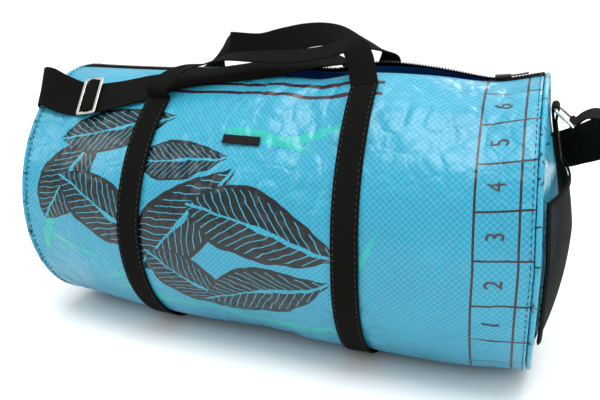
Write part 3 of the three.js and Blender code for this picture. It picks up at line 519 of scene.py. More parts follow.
# %% [markdown]
# ## Webbing, net, steel, zip and label
# The straps are black polypropylene webbing, woven in narrow ribs about 1.6 mm apart. The crests of
# the ribs are painted a lighter grey, a painted highlight of the light that catches it in fine lines,
# so it is never quite black. The zip is dyed polyester tape with a nylon coil. The rings and the
# slider are steel with bright nickel plating. The net is polyester.

# %% Webbing
def webbing_finish(name, code, rib_highlight, pitch):
    """Woven webbing: ribs along it at a pitch in metres, a finer weft across it, and a painted highlight
    on their crests.
    """
    material, tree, shader = start(name, 0.85, Specular_IOR_Level=0.04)
    places = add(tree, "ShaderNodeUVMap", {}, uv_map="pattern")[0]
    ribs = add(tree, "ShaderNodeTexWave", {"Vector": places, "Scale": 0.314 / pitch,
                                           "Distortion": 0.0}, bands_direction="Y")[1]
    weft = add(tree, "ShaderNodeTexWave", {"Vector": places, "Scale": 0.314 / (pitch * 0.75),
                                           "Distortion": 0.0}, bands_direction="X")[1]
    weave = add(tree, "ShaderNodeMath", {0: ribs, 1: weft}, operation="MULTIPLY")[0]
    # The crests of the weave take the second, lighter colour: a painted highlight where light catches
    # the ribs.
    colour = add(tree, "ShaderNodeMix", {0: weave, 6: linear(code), 7: linear(rib_highlight)},
                 data_type="RGBA")[2]
    tree.links.new(colour, shader.inputs["Base Color"])
    bump = add(tree, "ShaderNodeBump", {"Height": weave, "Strength": 0.5, "Distance": 0.0004})[0]
    tree.links.new(bump, shader.inputs["Normal"])
    return material


webbing = webbing_finish("black_woven_webbing", "070807", "1b1b17", 0.0016)
zip_tape = webbing_finish("black_zip_tape", "040505", "0f1010", 0.0009)
print("webbing and zip tape")

# %% Net, coil, thread, lining, label and ink
net_yarn, _, yarn = start("black_polyester_net", 0.7, Specular_IOR_Level=0.3)
yarn.inputs["Base Color"].default_value = linear("0d1012")
coil, _, nylon = start("black_nylon_coil", 0.35)
nylon.inputs["Base Color"].default_value = linear("101214")
sewing, _, polyester = start("black_sewing_thread", 0.55)
polyester.inputs["Base Color"].default_value = linear("0a0b0c")
lining, _, film = start("dark_blue_back_of_cloth", 0.45)
film.inputs["Base Color"].default_value = linear("2e93d6")
satin, _, ribbon_face = start("black_satin_label", 0.5, Specular_IOR_Level=0.12)
ribbon_face.inputs["Base Color"].default_value = linear("0b0b0c")
number_ink, _, red_ink = start("dark_red_printing_ink", 0.4, Coat_Weight=0.25)
red_ink.inputs["Base Color"].default_value = linear(RED)
print("finishes:", len(bpy.data.materials))

# %% Steel
# Nickel plating is a little warm, and tumbled small parts have a faint grain of about 0.5 mm.
steel, tree, plating = start("nickel_plated_steel", 0.22, Metallic=1.0)
plating.inputs["Base Color"].default_value = linear("dcd9d2")
grain = add(tree, "ShaderNodeTexNoise", {
    "Vector": add(tree, "ShaderNodeTexCoord", {})["Object"], "Scale": 2000.0, "Detail": 2.0})[0]
tree.links.new(add(tree, "ShaderNodeBump", {"Height": grain, "Strength": 0.04,
                                            "Distance": 0.0002})[0], plating.inputs["Normal"])
print("finishes:", len(bpy.data.materials))

# %% [markdown]
# ## The barrel's cloth
# The real sheet is rolled and sewn along its ends, and shows creases where the sack was folded. It
# could be a cloth simulation, but the photograph's own sags and dents are wanted, so the sheet takes
# the formula's shape. On top of that it gets small dips: slow ones about 5 cm across, and sharp
# creases between flat facets of 2 cm in patches. They only go inwards, so that the straps still
# lie on the cloth.

# %% Dips of the cloth
# Blender seeds a part of its noise from the clock. With a fixed seed, the creases are the same on
# each run.
CREASE_SEED = 1796108434
noise.seed_set(CREASE_SEED)
# The rendered cloth is a little thinner than the CAD's, so that its dips stay within the solid.
THIN_CLOTH = 0.0012


def dips(across, around):
    """How deep the cloth dips at places in metres along it and round it."""
    deep = []
    for u, v in zip(across, around):
        spot = Vector((u, v, 0.37))
        slow = noise.noise(spot / 0.05) + 0.5 * noise.noise(spot / 0.022)
        patch = noise.noise(spot / 0.10 + Vector((9, 2, 4)))
        shift = noise.noise_vector(spot / 0.03) * 0.006
        near = noise.voronoi((spot + shift) / 0.024)[0]
        crease = max(0.0, 1 - (near[1] - near[0]) / 0.30)
        strong = min(1, max(0, patch * 2.2 + 0.45))
        deep.append(0.0011 * max(0, 0.6 + slow) + 0.0018 * crease * strong)
    return np.array(deep)


def barrel_place(u, v):
    """The degrees from the bottom and the dip of the cloth at shares of its length and girth."""
    reach = 180 - slit_angle(u, TAPE)
    angle = (2 * v - 1) * reach
    held = np.clip(np.minimum(u, 1 - u) / 0.03, 0, 1) * np.clip((reach - abs(angle)) / 6, 0, 1)
    return angle, dips(u * LENGTH, np.radians(angle) * RADIUS) * held


# %% Barrel
def barrel_cloth(u, v):
    angle, dip = barrel_place(u, v)
    # Where the cloth is gathered into the end seams, it puckers about every 2 cm.
    near_end = np.exp(-np.minimum(u, 1 - u) * LENGTH / 0.016)
    pucker = 0.0007 * (1 - np.cos(np.radians(angle) * 43 + np.sin(angle / 11) * 2)) * near_end
    return on_body(u, angle, -dip - pucker)


def barrel_pattern(u, v):
    angle = (2 * v - 1) * (180 - slit_angle(u, TAPE))
    return u * LENGTH, np.radians(angle) * RADIUS


piece("barrel", sheet(236, 180, barrel_cloth, barrel_pattern), [printed_cloth, lining],
      ["body_shell"], wall=THIN_CLOTH)

# %% [markdown]
# ## Numbers on the ladder
# Beside the thin lines stand plain numbers, one to each space, turned a quarter. Text could be a
# picture on the cloth, but as a mesh it stays sharp. Each number is made flat, cut into a fine net
# of faces so that it can bend, and then laid on the barrel a quarter of a millimetre proud.

# %% Flat numbers
LADDER_MIDDLE, FIRST_NUMBER, NUMBER_SIZE = 0.4710, 0.1659, 0.021
numbers = bmesh.new()
for k, figure in enumerate(("1", "2", "3", "4", "5", "6")):
    text = bpy.data.curves.new("number", "FONT")
    text.body, text.size, text.resolution_u = figure, NUMBER_SIZE, 3
    text.align_x, text.align_y = "CENTER", "CENTER"
    holder = bpy.data.objects.new("number", text)
    bpy.context.collection.objects.link(holder)
    flat = bpy.data.meshes.new_from_object(holder)
    flat.transform(Matrix.Translation((LADDER_MIDDLE, FIRST_NUMBER + k * RUNG_STEP, 0))
                   @ Matrix.Rotation(math.radians(90), 4, "Z") @ Matrix.Scale(0.8, 4, (1, 0, 0)))
    numbers.from_mesh(flat)
    bpy.data.objects.remove(holder)
    bpy.data.meshes.remove(flat)
    bpy.data.curves.remove(text)
print("numbers, flat:", len(numbers.faces), "faces")

# %% Numbers laid on the barrel
for axis, low, high in ((0, 0.455, 0.488), (1, 0.15, 0.385)):
    for at in np.arange(low, high, 0.003):
        where, facing = [0, 0, 0], [0, 0, 0]
        where[axis], facing[axis] = at, 1
        bmesh.ops.bisect_plane(numbers, geom=numbers.verts[:] + numbers.edges[:] + numbers.faces[:],
                               plane_co=where, plane_no=facing)
bmesh.ops.remove_doubles(numbers, verts=numbers.verts, dist=0.00002)
numbers.normal_update()
bmesh.ops.reverse_faces(numbers, faces=[face for face in numbers.faces if face.normal.z < 0])
flat = np.array([v.co[:2] for v in numbers.verts])
shares = flat[:, 0] / LENGTH
angles = np.degrees(flat[:, 1] / RADIUS)
halves = 180 - slit_angle(shares, TAPE)
_, sunk = barrel_place(shares, (angles / halves + 1) / 2)
for vertex, spot in zip(numbers.verts, on_body(shares, angles, 0.00025 - sunk) + ORIGIN):
    vertex.co = spot
piece("ladder_numbers", numbers, [number_ink], wall=0.0002)

# %% [markdown]
# ## End panels, piping and their seams
# A round of cloth closes each end, with a cord in a strip of cloth as piping in the seam. The round
# is a grid rolled into a disc, whose middle and joining edge are then merged. The piping is a grid
# rolled both ways. The seam's dark stitches sit in the groove between the barrel and the piping.

# %% The cord's line
def piping_line(side, angle):
    """The cord's middle line and the direction out of the bag in the plane of the end."""
    centre = body_centre(end_of(side))
    edge = body_face(end_of(side), angle) - centre
    reach = np.linalg.norm(edge, axis=-1)
    point = centre + edge * (1 - PIPING / 2 / reach)[..., None]
    point[..., 0] += side * (GAP + PIPING / 2)
    return point, unit(edge * (0, 1, 1))


# %% Ends, piping and seams
for side, word in ((-1, "left"), (1, "right")):
    def panel_cloth(u, v):
        spot = on_panel(side, u, v * 360, 0.0)
        flat = spot - body_centre(end_of(side))
        dip = dips(flat[:, 1] + side, flat[:, 2] + 3) * np.clip((1 - u) * 12, 0, 1)
        pleat = 0.0012 * (1 - np.cos(np.radians(v * 360) * 26)) * np.exp(-(1 - u) / 0.10)
        pleat *= np.clip((1 - u) * 40, 0, 1)
        spot[:, 0] -= side * (dip * (1.0 if side < 0 else 0.6) + pleat)
        return spot

    def panel_pattern(u, v):
        return (2 + u * 0.138 * np.sin(np.radians(v * 360)),
                2 - u * 0.138 * np.cos(np.radians(v * 360)))

    piece(f"end_{word}", sheet(64, 200, panel_cloth, panel_pattern, side > 0, True),
          [plain_cloth, lining], [f"end_panel_{word}"],
          wall=THIN_CLOTH)

    def piping_tube(u, v):
        line, outwards = piping_line(side, u * 360)
        a = v[:, None] * 2 * np.pi
        round_it = 1 - 0.05 * np.abs(np.sin(np.pi * (41 * u + 2 * v)))[:, None]
        return line + PIPING / 2 * round_it * (outwards * np.cos(a) + np.sin(a) * np.array([side, 0, 0]))

    bm = sheet(300, 10, piping_tube, lambda u, v: (3 + v * 0.016, u * 0.87), closed=True)
    bmesh.ops.recalc_face_normals(bm, faces=bm.faces)
    piece(f"piping_{word}_cord", bm, [plain_cloth], [f"piping_{word}"])

    seam = bmesh.new()
    turns = np.linspace(0, 360, 400)
    thread(seam, on_body(np.full(400, 0.9955 if side > 0 else 0.0045), turns - 180, 0.0001),
           0.0062, 0.0040, 0.0005)
    piece(f"seam_{word}", seam, [sewing])

# %% [markdown]
# ## Zip
# A tape is sewn behind each lip, with half of a nylon coil along its edge. Where the zip is shut the
# halves lie in each other. The coil's turns are small grains a few millimetres apart, coarser than
# the real ones so that they show. Where it is open, the front half hangs into the bag. The slider
# here and the one on the shoulder strap are the CAD's own blocks, merged and with rounded edges.

# %% Zip
COIL_PITCH = 0.0028


def hang(u, sign):
    """How far the front half of the open zip hangs into the bag at its coil."""
    return (0.011 if sign > 0 else 0.0) * np.sin(np.pi * opening_share(u)) ** 0.7


for sign, word in ((1, "front"), (-1, "back")):
    def tape_cloth(u, v):
        outer, inner = 180 - slit_angle(u, TAPE) + np.degrees(GAP / RADIUS), 180 - slit_angle(u, 0)
        return on_body(u, sign * (outer + (inner - outer) * v), -hang(u, sign) * v)
    tape = sheet(160, 4, tape_cloth, lambda u, v: (u * LENGTH, v * TAPE), sign < 0)
    piece(f"zip_tape_of_{word}", tape, [zip_tape], [f"zip_tape_{word}"], wall=0.0014)
    teeth = bmesh.new()
    for at in np.arange(0.006, 0.494, COIL_PITCH):
        share = np.array((at + sign * COIL_PITCH / 2) / LENGTH)
        angle = sign * (180 - slit_angle(share, 0) - 0.5)
        spot = Vector(on_body(share, angle, 0.0004 - hang(share, sign)) + ORIGIN)
        bmesh.ops.create_icosphere(teeth, subdivisions=1, radius=1, matrix=Matrix.Translation(spot)
                                   @ Matrix.Diagonal((0.0008, 0.0019, 0.0011, 1)))
    piece(f"zip_coil_{word}", teeth, [coil])

# %% Sliders
for hardware in ("zip_slider", "strap_slider"):
    bm = bmesh.new()
    bm.from_mesh(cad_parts[hardware].data)
    bmesh.ops.remove_doubles(bm, verts=bm.verts, dist=1e-6)
    bmesh.ops.dissolve_limit(bm, angle_limit=0.02, verts=bm.verts, edges=bm.edges)
    made = piece(f"{hardware}_rounded", bm, [coil if hardware == "zip_slider" else steel],
                 [hardware], rounding=0.0006)
    made.data.set_sharp_from_angle(angle=math.radians(40))

# %% [markdown]
# ## Net pocket
# Net is open, so it isn't a sheet with a picture of holes. A fine grid turned by 45 degrees is cut
# to the pocket's outline, laid on the slack of the pocket, and turned into yarn by the wireframe
# operator. A padded binding covers its cut edge.

# %% The pocket's shape
POCKET_REACH, POCKET_TOP, POCKET_SLACK = 0.86, 0.36, 0.0094


def pocket_edge(angle):
    """The share of the panel's radius at which the pocket ends: straight on top, round below."""
    up = -np.cos(np.radians(angle))
    return np.where(up > POCKET_TOP / POCKET_REACH, POCKET_TOP / np.maximum(up, 0.01), POCKET_REACH)


def on_pocket(rho, angle, out):
    """A point on the net, which stands off the panel most in its middle."""
    return on_panel(1, rho, angle, GAP + POCKET_SLACK * (1 - (rho / POCKET_REACH) ** 2) + out)


# %% Net and binding
net = bmesh.new()
bmesh.ops.create_grid(net, x_segments=92, y_segments=92, size=RADIUS,
                      matrix=Matrix.Rotation(math.radians(45), 4, "Z"))
flat = np.array([v.co[:2] for v in net.verts], float)
angle = np.degrees(np.arctan2(flat[:, 0], -flat[:, 1]))
edge = np.linalg.norm(body_face(end_of(1), angle) - body_centre(end_of(1)), axis=-1) - PIPING - GAP
rho = np.hypot(flat[:, 0], flat[:, 1]) / edge
spots = on_pocket(rho, angle, 0.0006) + ORIGIN
outside = [v for v, r, a in zip(net.verts, rho, angle) if r > pocket_edge(a) - 0.012]
for vertex, spot in zip(net.verts, spots):
    vertex.co = spot
bmesh.ops.delete(net, geom=outside, context="VERTS")
bmesh.ops.wireframe(net, faces=net.faces, thickness=0.0009, use_replace=True, use_boundary=True,
                    use_even_offset=True)
piece("pocket_lattice", net, [net_yarn], ["pocket_net"])
binding = sheet(160, 6, lambda u, v: on_pocket(pocket_edge(u * 360) - 0.051 * v, u * 360,
                                               0.0026 - 0.0009 * (2 * v - 1) ** 2),
                lambda u, v: (u * 0.8, v * 0.007), closed=True)
piece("pocket_edge_binding", binding, [webbing], ["pocket_binding"], wall=0.0012)

# %% [markdown]
# ## Rings of webbing and handles
# A ring of 25 mm webbing is sewn round the barrel, and the handle rises out of it as the same
# webbing. Its route comes from the photograph, from fold to fold. A strip is a grid with a row of
# points across each place of its route.

# %% Strips
def lay(centres, across, width, columns, clearance):
    """The points of a strip of webbing, kept off the bag."""
    ways = unit(np.gradient(centres, axis=0))
    flat = across - ways * (across * ways).sum(-1, keepdims=True)
    flat[0], flat[-1] = across[0], across[-1]
    offsets = np.linspace(-width / 2, width / 2, columns + 1)
    grid = centres[:, None] + unit(flat)[:, None] * offsets[None, :, None]
    return clear_of_bag(grid.reshape(-1, 3), clearance + WEBBING / 2).reshape(grid.shape)


def strip(name, grid, width, nodes, finish=webbing, wall=WEBBING, offset=0.0):
    """Webbing from rows of points: its pattern is metres along it and across it."""
    rows, columns = grid.shape[0] - 1, grid.shape[1] - 1
    way = np.append(0, np.cumsum(np.linalg.norm(np.diff(grid[:, columns // 2], axis=0), axis=1)))
    bm = sheet(rows, columns, lambda u, v: grid[np.rint(u * rows).astype(int),
                                                np.rint(v * columns).astype(int)],
               lambda u, v: (way[np.rint(u * rows).astype(int)], v * width))
    return piece(name, bm, [finish], nodes, wall=wall, offset=offset, rounding=0.0005)


def ring_angle(step, along):
    """Degrees from the bottom at a step round the cloth, from the back lip to the front lip."""
    reach = 180 - slit_angle(along, TAPE)
    return -reach + 2 * reach * step / ANGLE_STEPS


# %% Rings of webbing
# Share of the length, and the steps round the cloth that are left free at the front and the back.
RINGS = {"left": (0.2575, 3, 4), "right": (0.6937, 1, 1)}
HANDLE_WIDTH, ANGLE_STEPS, ROWS = 0.025, 40, 150
HALF = HANDLE_WIDTH / 2 / LENGTH
strap_thread = bmesh.new()
for word, (along, front, back) in RINGS.items():
    steps = np.linspace(back, ANGLE_STEPS - front, ROWS)
    shares = np.linspace(along + HALF, along - HALF, 9)
    grid = np.stack([on_body(np.full(ROWS, s), ring_angle(steps, s), GAP + WEBBING / 2)
                     for s in shares], 1)
    strip(f"ring_of_webbing_{word}", grid, HANDLE_WIDTH, [f"strap_{word}"])
    for s in (along - 0.8 * HALF, along + 0.8 * HALF):
        thread(strap_thread, on_body(np.full(ROWS, s), ring_angle(steps, s), GAP + WEBBING),
               0.0056, 0.0034, 0.0005)


# %% Where a handle lifts off
def ring_row(word, step, out):
    """The two edges of a ring of webbing at a step."""
    along = RINGS[word][0]
    return [on_body(np.array(s), ring_angle(step, s), out) for s in (along - HALF, along + HALF)]


def lift_off(word, step, onwards, turned):
    """The middle and the way of the width where a handle leaves its ring of webbing."""
    (a, b), (c, d) = (ring_row(word, k, GAP + WEBBING / 2) for k in (step, step + onwards))
    return (a + b) / 2 + 2 * GAP * unit(c + d - a - b), unit((b - a) * turned)


# %% Handles
# Columns: share of the length, then shares of the diameter in depth and height, and the way of
# the width.
FRONT_HANDLE = (
    (-0.232, -0.210, 0.925, 0.97, -0.20, -0.10),
    (-0.214, -0.170, 0.962, 0.80, -0.55, -0.20),
    (-0.194, -0.149, 0.985, 0.50, -0.85, -0.15),
    (-0.154, -0.138, 1.003, 0.15, -0.98, 0.05),
    (-0.100, -0.123, 1.033, 0.00, -0.98, -0.15),
    (-0.040, -0.112, 1.038, 0.00, -0.95, -0.30),
    (0.032, -0.109, 1.043, 0.00, -0.92, -0.40),
    (0.090, -0.109, 1.060, 0.00, -0.92, -0.40),
    (0.126, -0.112, 1.080, -0.15, -0.85, -0.50),
    (0.148, -0.123, 1.087, -0.50, -0.70, -0.50),
    (0.162, -0.138, 1.058, -0.90, -0.40, -0.10),
)
BACK_HANDLE = (
    (-0.220, 0.225, 0.949, -0.90, -0.20, -0.40),
    (-0.192, 0.152, 1.004, -0.60, -0.30, -0.75),
    (-0.152, 0.087, 1.051, -0.25, -0.30, -0.90),
    (-0.128, 0.029, 1.062, 0.00, -0.15, -1.00),
    (-0.056, 0.000, 1.063, 0.00, -0.10, -1.00),
    (-0.014, 0.000, 1.083, 0.00, -0.25, -0.97),
    (0.028, 0.007, 1.101, 0.00, -0.40, -0.92),
    (0.064, 0.029, 1.109, 0.00, -0.60, -0.80),
    (0.096, 0.058, 1.105, 0.00, -0.80, -0.60),
    (0.132, 0.094, 1.080, 0.00, -0.97, -0.25),
    (0.168, 0.130, 1.054, 0.30, -0.95, 0.00),
    (0.186, 0.156, 1.030, 0.80, -0.60, 0.00),
)
for word, table, turn in (("front", FRONT_HANDLE, 1), ("back", BACK_HANDLE, -1)):
    ends = [lift_off(side, ANGLE_STEPS - RINGS[side][1] if turn > 0 else RINGS[side][2], turn,
                     turn * flip) for side, flip in (("left", 1), ("right", -1))]
    rows = np.array(table)
    centres = np.vstack([ends[0][0], rows[:, :3] * (LENGTH, DIAMETER, DIAMETER), ends[1][0]])
    across = unit(np.vstack([ends[0][1], rows[:, 3:], ends[1][1]]))
    grid = lay(*smooth_rows(centres, across, 120), HANDLE_WIDTH, 6, GAP)
    strip(f"carrying_handle_{word}", grid, HANDLE_WIDTH, [f"handle_{word}"], wall=0.0015)
piece("strap_stitches", strap_thread, [sewing])

# %% [markdown]
# ## Rings and tabs at the ends
# Each end has a rectangle of 3 mm steel wire, held by a tab of webbing folded round it. The wire
# is a grid rolled round the rectangle's path, and the tab a strip whose path goes round the wire.

# %% Places over a panel and round a bar
# Share of the diameter in depth and height, the way of the bar, and the way the ring hangs out.
END_RINGS = {-1: (0.009, 0.814, (0, -0.42, -0.91), (-0.20, -0.87, 0.41)),
             1: (0.012, 0.898, (0, -1, 0), (0.77, 0, -0.64))}
RING_HEIGHT, STRAP, TAB_LENGTH, TAB_WIDTH = 0.021, 0.040, 0.048, 0.034
WRAP_RADIUS = WIRE / 2 + GAP + WEBBING / 2
LOW, HIGH = 2.5 * GAP + WEBBING / 2, 3.5 * GAP + WEBBING * 1.5


def across_panel(side, middle, direction, length, out):
    """The middle and the way of a line of a given length that lies over a panel."""
    ends = np.array([middle + direction * length * k for k in (-0.5, 0.5)])
    feet = over_panel(side, ends[:, 1], ends[:, 2], out)
    return feet.mean(0), unit(feet[1] - feet[0])


def wrap(bar, direction, facing, start_at, end_at):
    """Places of webbing round a bar, between two angles measured from a direction."""
    a = np.radians(np.linspace(start_at, end_at, 5))[:, None]
    return bar + WRAP_RADIUS * (direction * np.cos(a) + facing * np.sin(a))


# %% Rings and tabs
held = {}
for side, word in ((-1, "left"), (1, "right")):
    y, z, bar, towards = END_RINGS[side]
    flat_bar = unit(np.array(bar, float))
    tab_bar, way = across_panel(side, np.array([0, y * DIAMETER, z * DIAMETER]), flat_bar, STRAP,
                                5 * GAP + WEBBING + WIRE / 2)
    towards = unit(np.array(towards) - way * np.dot(towards, way))
    strap_bar = tab_bar + towards * RING_HEIGHT
    facing = np.cross(way, towards)
    facing = facing * np.sign(facing[0] * side)
    held[side] = (strap_bar, way, towards, facing)
    middle = (strap_bar + tab_bar) / 2
    half_u, half_v, corner = STRAP / 2 + GAP + WIRE / 2, RING_HEIGHT / 2, 0.003
    turns = np.radians(np.arange(0, 360, 15))
    path = np.array([middle + way * (np.sign(np.cos(a + 0.01)) * (half_u - corner) + corner * np.cos(a))
                     + towards * (np.sign(np.sin(a + 0.01)) * (half_v - corner) + corner * np.sin(a))
                     for a in turns])
    path = np.vstack([path, path[:1]])

    def wire_tube(u, v):
        at = u * (len(path) - 1)
        spot = np.stack([np.interp(at, np.arange(len(path)), path[:, k]) for k in range(3)], -1)
        out = unit(spot - middle)
        a = v[:, None] * 2 * np.pi
        return spot + WIRE / 2 * (out * np.cos(a) + np.cross(way, towards) * np.sin(a))

    bm = sheet(24, 12, wire_tube, lambda u, v: (u, v), closed=True)
    bmesh.ops.recalc_face_normals(bm, faces=bm.faces)
    piece(f"steel_ring_{word}", bm, [steel], [f"ring_{word}"])

    out_way = unit(np.array([side, 0, 0]) - way * way[0] * side)
    down = unit(np.cross(flat_bar, (1, 0, 0)))
    down = down if down[2] < 0 else -down
    up = np.cross(out_way, way)
    up = up if np.dot(up, down) < 0 else -up
    layers = [[across_panel(side, tab_bar + down * share * TAB_LENGTH, flat_bar, TAB_WIDTH, out)
               for share in shares]
              for shares, out in (((1, 0.75, 0.5, 0.25), LOW), ((0.25, 0.5, 0.75, 1), HIGH))]
    centres = np.vstack([[c for c, _ in layers[0]], wrap(tab_bar, up, out_way, -90, 90),
                         [c for c, _ in layers[1]]])
    across = np.vstack([[a for _, a in layers[0]], np.tile(way, (5, 1)), [a for _, a in layers[1]]])
    strip(f"folded_tab_{word}", lay(centres, across, TAB_WIDTH, 4, GAP), TAB_WIDTH,
          [f"end_tab_{word}"])
    tack = bmesh.new()
    box = [(-0.4, 0.5), (0.4, 0.5), (0.4, 0.92), (-0.4, 0.92), (-0.4, 0.5), (0.4, 0.92)]
    corners = [across_panel(side, tab_bar + down * s * TAB_LENGTH + flat_bar * w * TAB_WIDTH,
                            flat_bar, 0.001, HIGH + WEBBING / 2)[0] for w, s in box]
    thread(tack, np.array(corners), 0.0042, 0.003, 0.0005)
    piece(f"tab_stitches_{word}", tack, [sewing])

# %% [markdown]
# ## Zip pull
# The slider is drawn along by a small flat pull of the same black metal. It lies on the shut part of
# the zip, beyond the slider. It is a short strip, stiff and thin.

# %% Zip pull
pull = np.stack([on_body(np.linspace(0.936, 0.975, 8), 180 + turn, 0.0025)
                 for turn in np.linspace(-1.5, 1.5, 5)], 1)
strip("zip_pull", pull, 0.0072, [], finish=coil, wall=0.0012)

# %% [markdown]
# ## Shoulder strap
# Webbing 40 mm wide runs from ring to ring over the slit, under the handles and behind the barrel,
# through a steel slider near its left end. The slider lies on the strap, and a short turn of the
# webbing passes over its middle bar.

# %% The shoulder strap's route
# Columns: share of the length, then shares of the diameter in depth and height, and the way of
# the width.
SHOULDER_ROUTE = (
    (-0.534, -0.116, 0.868, -0.05, -0.40, -0.91),
    (-0.517, -0.162, 0.884, 0.00, -0.38, -0.92),
    (-0.502, -0.194, 0.912, 0.00, -0.42, -0.91),
    (-0.466, -0.200, 0.890, 0.00, -0.50, -0.86),
    (-0.410, -0.196, 0.865, 0.00, -0.70, -0.71),
    (-0.350, -0.181, 0.880, 0.00, -0.80, -0.60),
    (-0.280, -0.152, 0.910, 0.00, -0.85, -0.50),
    (-0.196, -0.080, 0.938, 0.10, -0.93, -0.35),
    (-0.100, -0.062, 0.968, 0.10, -0.93, -0.33),
    (0.000, -0.043, 1.000, 0.15, -0.93, -0.30),
    (0.072, 0.010, 1.022, 0.30, -0.93, -0.20),
    (0.096, 0.090, 1.022, 0.50, -0.85, -0.15),
    (0.108, 0.180, 0.992, 0.62, -0.70, 0.19),
    (0.132, 0.285, 0.925, 0.74, -0.55, 0.28),
    (0.180, 0.385, 0.815, 0.80, -0.38, 0.45),
    (0.262, 0.458, 0.715, 0.63, -0.33, 0.67),
    (0.360, 0.490, 0.655, 0.27, -0.28, 0.90),
    (0.458, 0.505, 0.638, 0.05, -0.20, 0.97),
    (0.526, 0.465, 0.660, -0.10, -0.20, 0.97),
    (0.560, 0.360, 0.705, -0.15, -0.05, 0.98),
    (0.582, 0.240, 0.748, -0.25, 0.05, 0.97),
    (0.600, 0.135, 0.788, -0.40, 0.30, 0.87),
    (0.612, 0.060, 0.820, -0.48, 0.62, 0.62),
    (0.610, 0.020, 0.852, -0.36, 0.87, 0.34),
    (0.592, 0.012, 0.878, -0.18, 0.97, 0.14),
    (0.568, 0.012, 0.884, 0.00, 1.00, 0.00),
)
print("shoulder strap:", len(SHOULDER_ROUTE), "places")

# %% Shoulder strap
# The slider's place on the strap, and how far the strap's underside stays off the bag.
SLIDER_PLACE, STRAP_CLEARANCE = -0.390, 0.0008
(bar_l, way_l, to_l, face_l), (bar_r, way_r, to_r, face_r) = held[-1], held[1]
left_wrap, right_wrap = wrap(bar_l, -to_l, face_l, -110, 110), wrap(bar_r, -to_r, face_r, 110, -110)
rows = np.array(SHOULDER_ROUTE)
air, turned = smooth_rows(
    np.vstack([left_wrap[-1], rows[:, :3] * (LENGTH, DIAMETER, DIAMETER), right_wrap[0]]),
    unit(np.vstack([way_l, rows[:, 3:], -way_r])), 80)
centres = np.vstack([left_wrap[:-1], air, right_wrap[1:]])
across = np.vstack([np.tile(way_l, (4, 1)), turned, np.tile(-way_r, (4, 1))])
middle_row = int(np.argmax(centres[:, 0] > SLIDER_PLACE * LENGTH))
near, middle, after = clear_of_cloth(centres[middle_row - 1:middle_row + 2],
                                     STRAP_CLEARANCE + WEBBING / 2)
fine, fine_across = smooth_rows(air, turned, 240)
strip("long_strap", lay(np.vstack([left_wrap[:-1], fine, right_wrap[1:]]),
                        np.vstack([np.tile(way_l, (4, 1)), fine_across, np.tile(-way_r, (4, 1))]),
                        STRAP, 10, STRAP_CLEARANCE), STRAP, ["shoulder_strap"], wall=0.0013)

# %% Turn of webbing over the slider
SLIDER_LENGTH, SLIDER_BAR, SLIDER_THICKNESS = 0.021, 0.0028, 0.002
ahead = unit(after - near)
over = across[middle_row] - ahead * np.dot(across[middle_row], ahead)
over = unit(over) if np.cross(ahead, over)[2] > 0 else -unit(over)
rise = np.cross(ahead, over)
top = WEBBING + 7 * GAP + SLIDER_THICKNESS
foot, reach = WEBBING + 3 * GAP, SLIDER_LENGTH / 2 - SLIDER_BAR - WEBBING / 2 - GAP / 2
over_bar = SLIDER_BAR / 2 + GAP
places = [(-reach, foot), (-over_bar, top), (over_bar, top), (reach, foot)]
bridge = np.array([middle + ahead * u + rise * h for u, h in places])
strip("turn_over_slider_bar", lay(*smooth_rows(bridge, np.tile(over, (4, 1)), 16), STRAP, 4, GAP),
      STRAP, ["strap_bridge"])

# %% [markdown]
# ## Label
# A folded strip of black satin, sewn flat on the front. It is left bare.

# %% Label
LABEL_LENGTH, LABEL_HEIGHT, LABEL_THICKNESS = 0.040, 0.009, 0.001
LABEL_ALONG, LABEL_ANGLE = 0.475, 131.5


def label_cloth(u, v):
    return on_body(LABEL_ALONG + (u - 0.5) * LABEL_LENGTH / LENGTH,
                   LABEL_ANGLE + (v - 0.5) * math.degrees(LABEL_HEIGHT / RADIUS),
                   GAP + LABEL_THICKNESS)


label = sheet(20, 6, label_cloth, lambda u, v: (u * LABEL_LENGTH, v * LABEL_HEIGHT))
piece("bare_label", label, [satin], ["side_label"], wall=LABEL_THICKNESS,
      rounding=0.0003)

# %% [markdown]
# ## Floor, light and camera
# A catalogue picture is lit from all round by large soft lamps on a pale floor. The camera was
# fitted to the rings, the rims and the outline in the photograph.

# %% Floor
floor_bm = bmesh.new()
bmesh.ops.create_grid(floor_bm, x_segments=1, y_segments=1, size=40)
floor_mesh = bpy.data.meshes.new("floor")
floor_bm.to_mesh(floor_mesh)
floor_bm.free()
floor = bpy.data.objects.new("floor", floor_mesh)
bpy.context.collection.objects.link(floor)
paper, _, matt = start("white_paper_floor", 0.9)
matt.inputs["Base Color"].default_value = linear("f7f7f7")
floor_mesh.materials.append(paper)
print("floor laid")

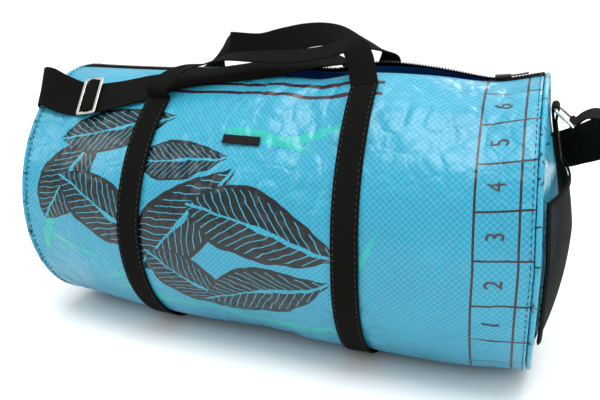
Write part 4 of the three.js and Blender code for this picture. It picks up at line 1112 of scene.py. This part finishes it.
# %% Light
world = bpy.data.worlds.new("studio")
world.use_nodes = True
world.node_tree.nodes["Background"].inputs[0].default_value = (1, 1, 1, 1)
world.node_tree.nodes["Background"].inputs[1].default_value = 0.80
bpy.context.scene.world = world
bpy.context.scene.view_settings.view_transform = "Standard"
for name, spot, size, power in (("softbox_above", (0.1, -0.5, 1.9), 1.1, 24),
                                ("softbox_left", (-1.7, -0.9, 1.2), 0.9, 9),
                                ("softbox_right", (1.7, -0.9, 1.0), 0.9, 8),
                                ("softbox_back", (0.6, 1.5, 1.5), 0.9, 14)):
    light = bpy.data.lights.new(name, "AREA")
    light.size, light.energy = size, power
    lamp = bpy.data.objects.new(name, light)
    lamp.location = spot
    lamp.rotation_euler = (Vector((0, 0, 0.15)) - Vector(spot)).to_track_quat("-Z", "Y").to_euler()
    bpy.context.collection.objects.link(lamp)
# A broad weak sun keeps the paper white far behind the bag.
sun = bpy.data.lights.new("sky_panel", "SUN")
sun.energy, sun.angle = 1.1, math.radians(80)
lamp = bpy.data.objects.new("sky_panel", sun)
lamp.rotation_euler = (math.radians(-12), math.radians(10), 0)
bpy.context.collection.objects.link(lamp)

# %% Camera
YAW, PITCH, ROLL = 0.3277, 0.2935, 0.0013
ahead = Vector((-math.sin(YAW) * math.cos(PITCH), math.cos(YAW) * math.cos(PITCH), -math.sin(PITCH)))
right = Vector((math.cos(YAW), math.sin(YAW), 0))
up = right.cross(ahead)
right, up = (right * math.cos(ROLL) + up * math.sin(ROLL),
             up * math.cos(ROLL) - right * math.sin(ROLL))
camera = bpy.data.objects.new("camera", bpy.data.cameras.new("camera"))
# The focal length was fitted in pixels of the photograph, which is 600 wide.
FOCAL_PIXELS, PHOTO_WIDTH, SENSOR = 757.3, 600, 36
camera.data.sensor_width = SENSOR
camera.data.lens = FOCAL_PIXELS / PHOTO_WIDTH * SENSOR
camera.matrix_world = (Matrix.Translation((0.23407, -0.72264, 0.3646))
                       @ Matrix((right, up, -ahead)).transposed().to_4x4())
bpy.context.collection.objects.link(camera)
bpy.context.scene.camera = camera
print("lens:", round(camera.data.lens, 2), "mm")
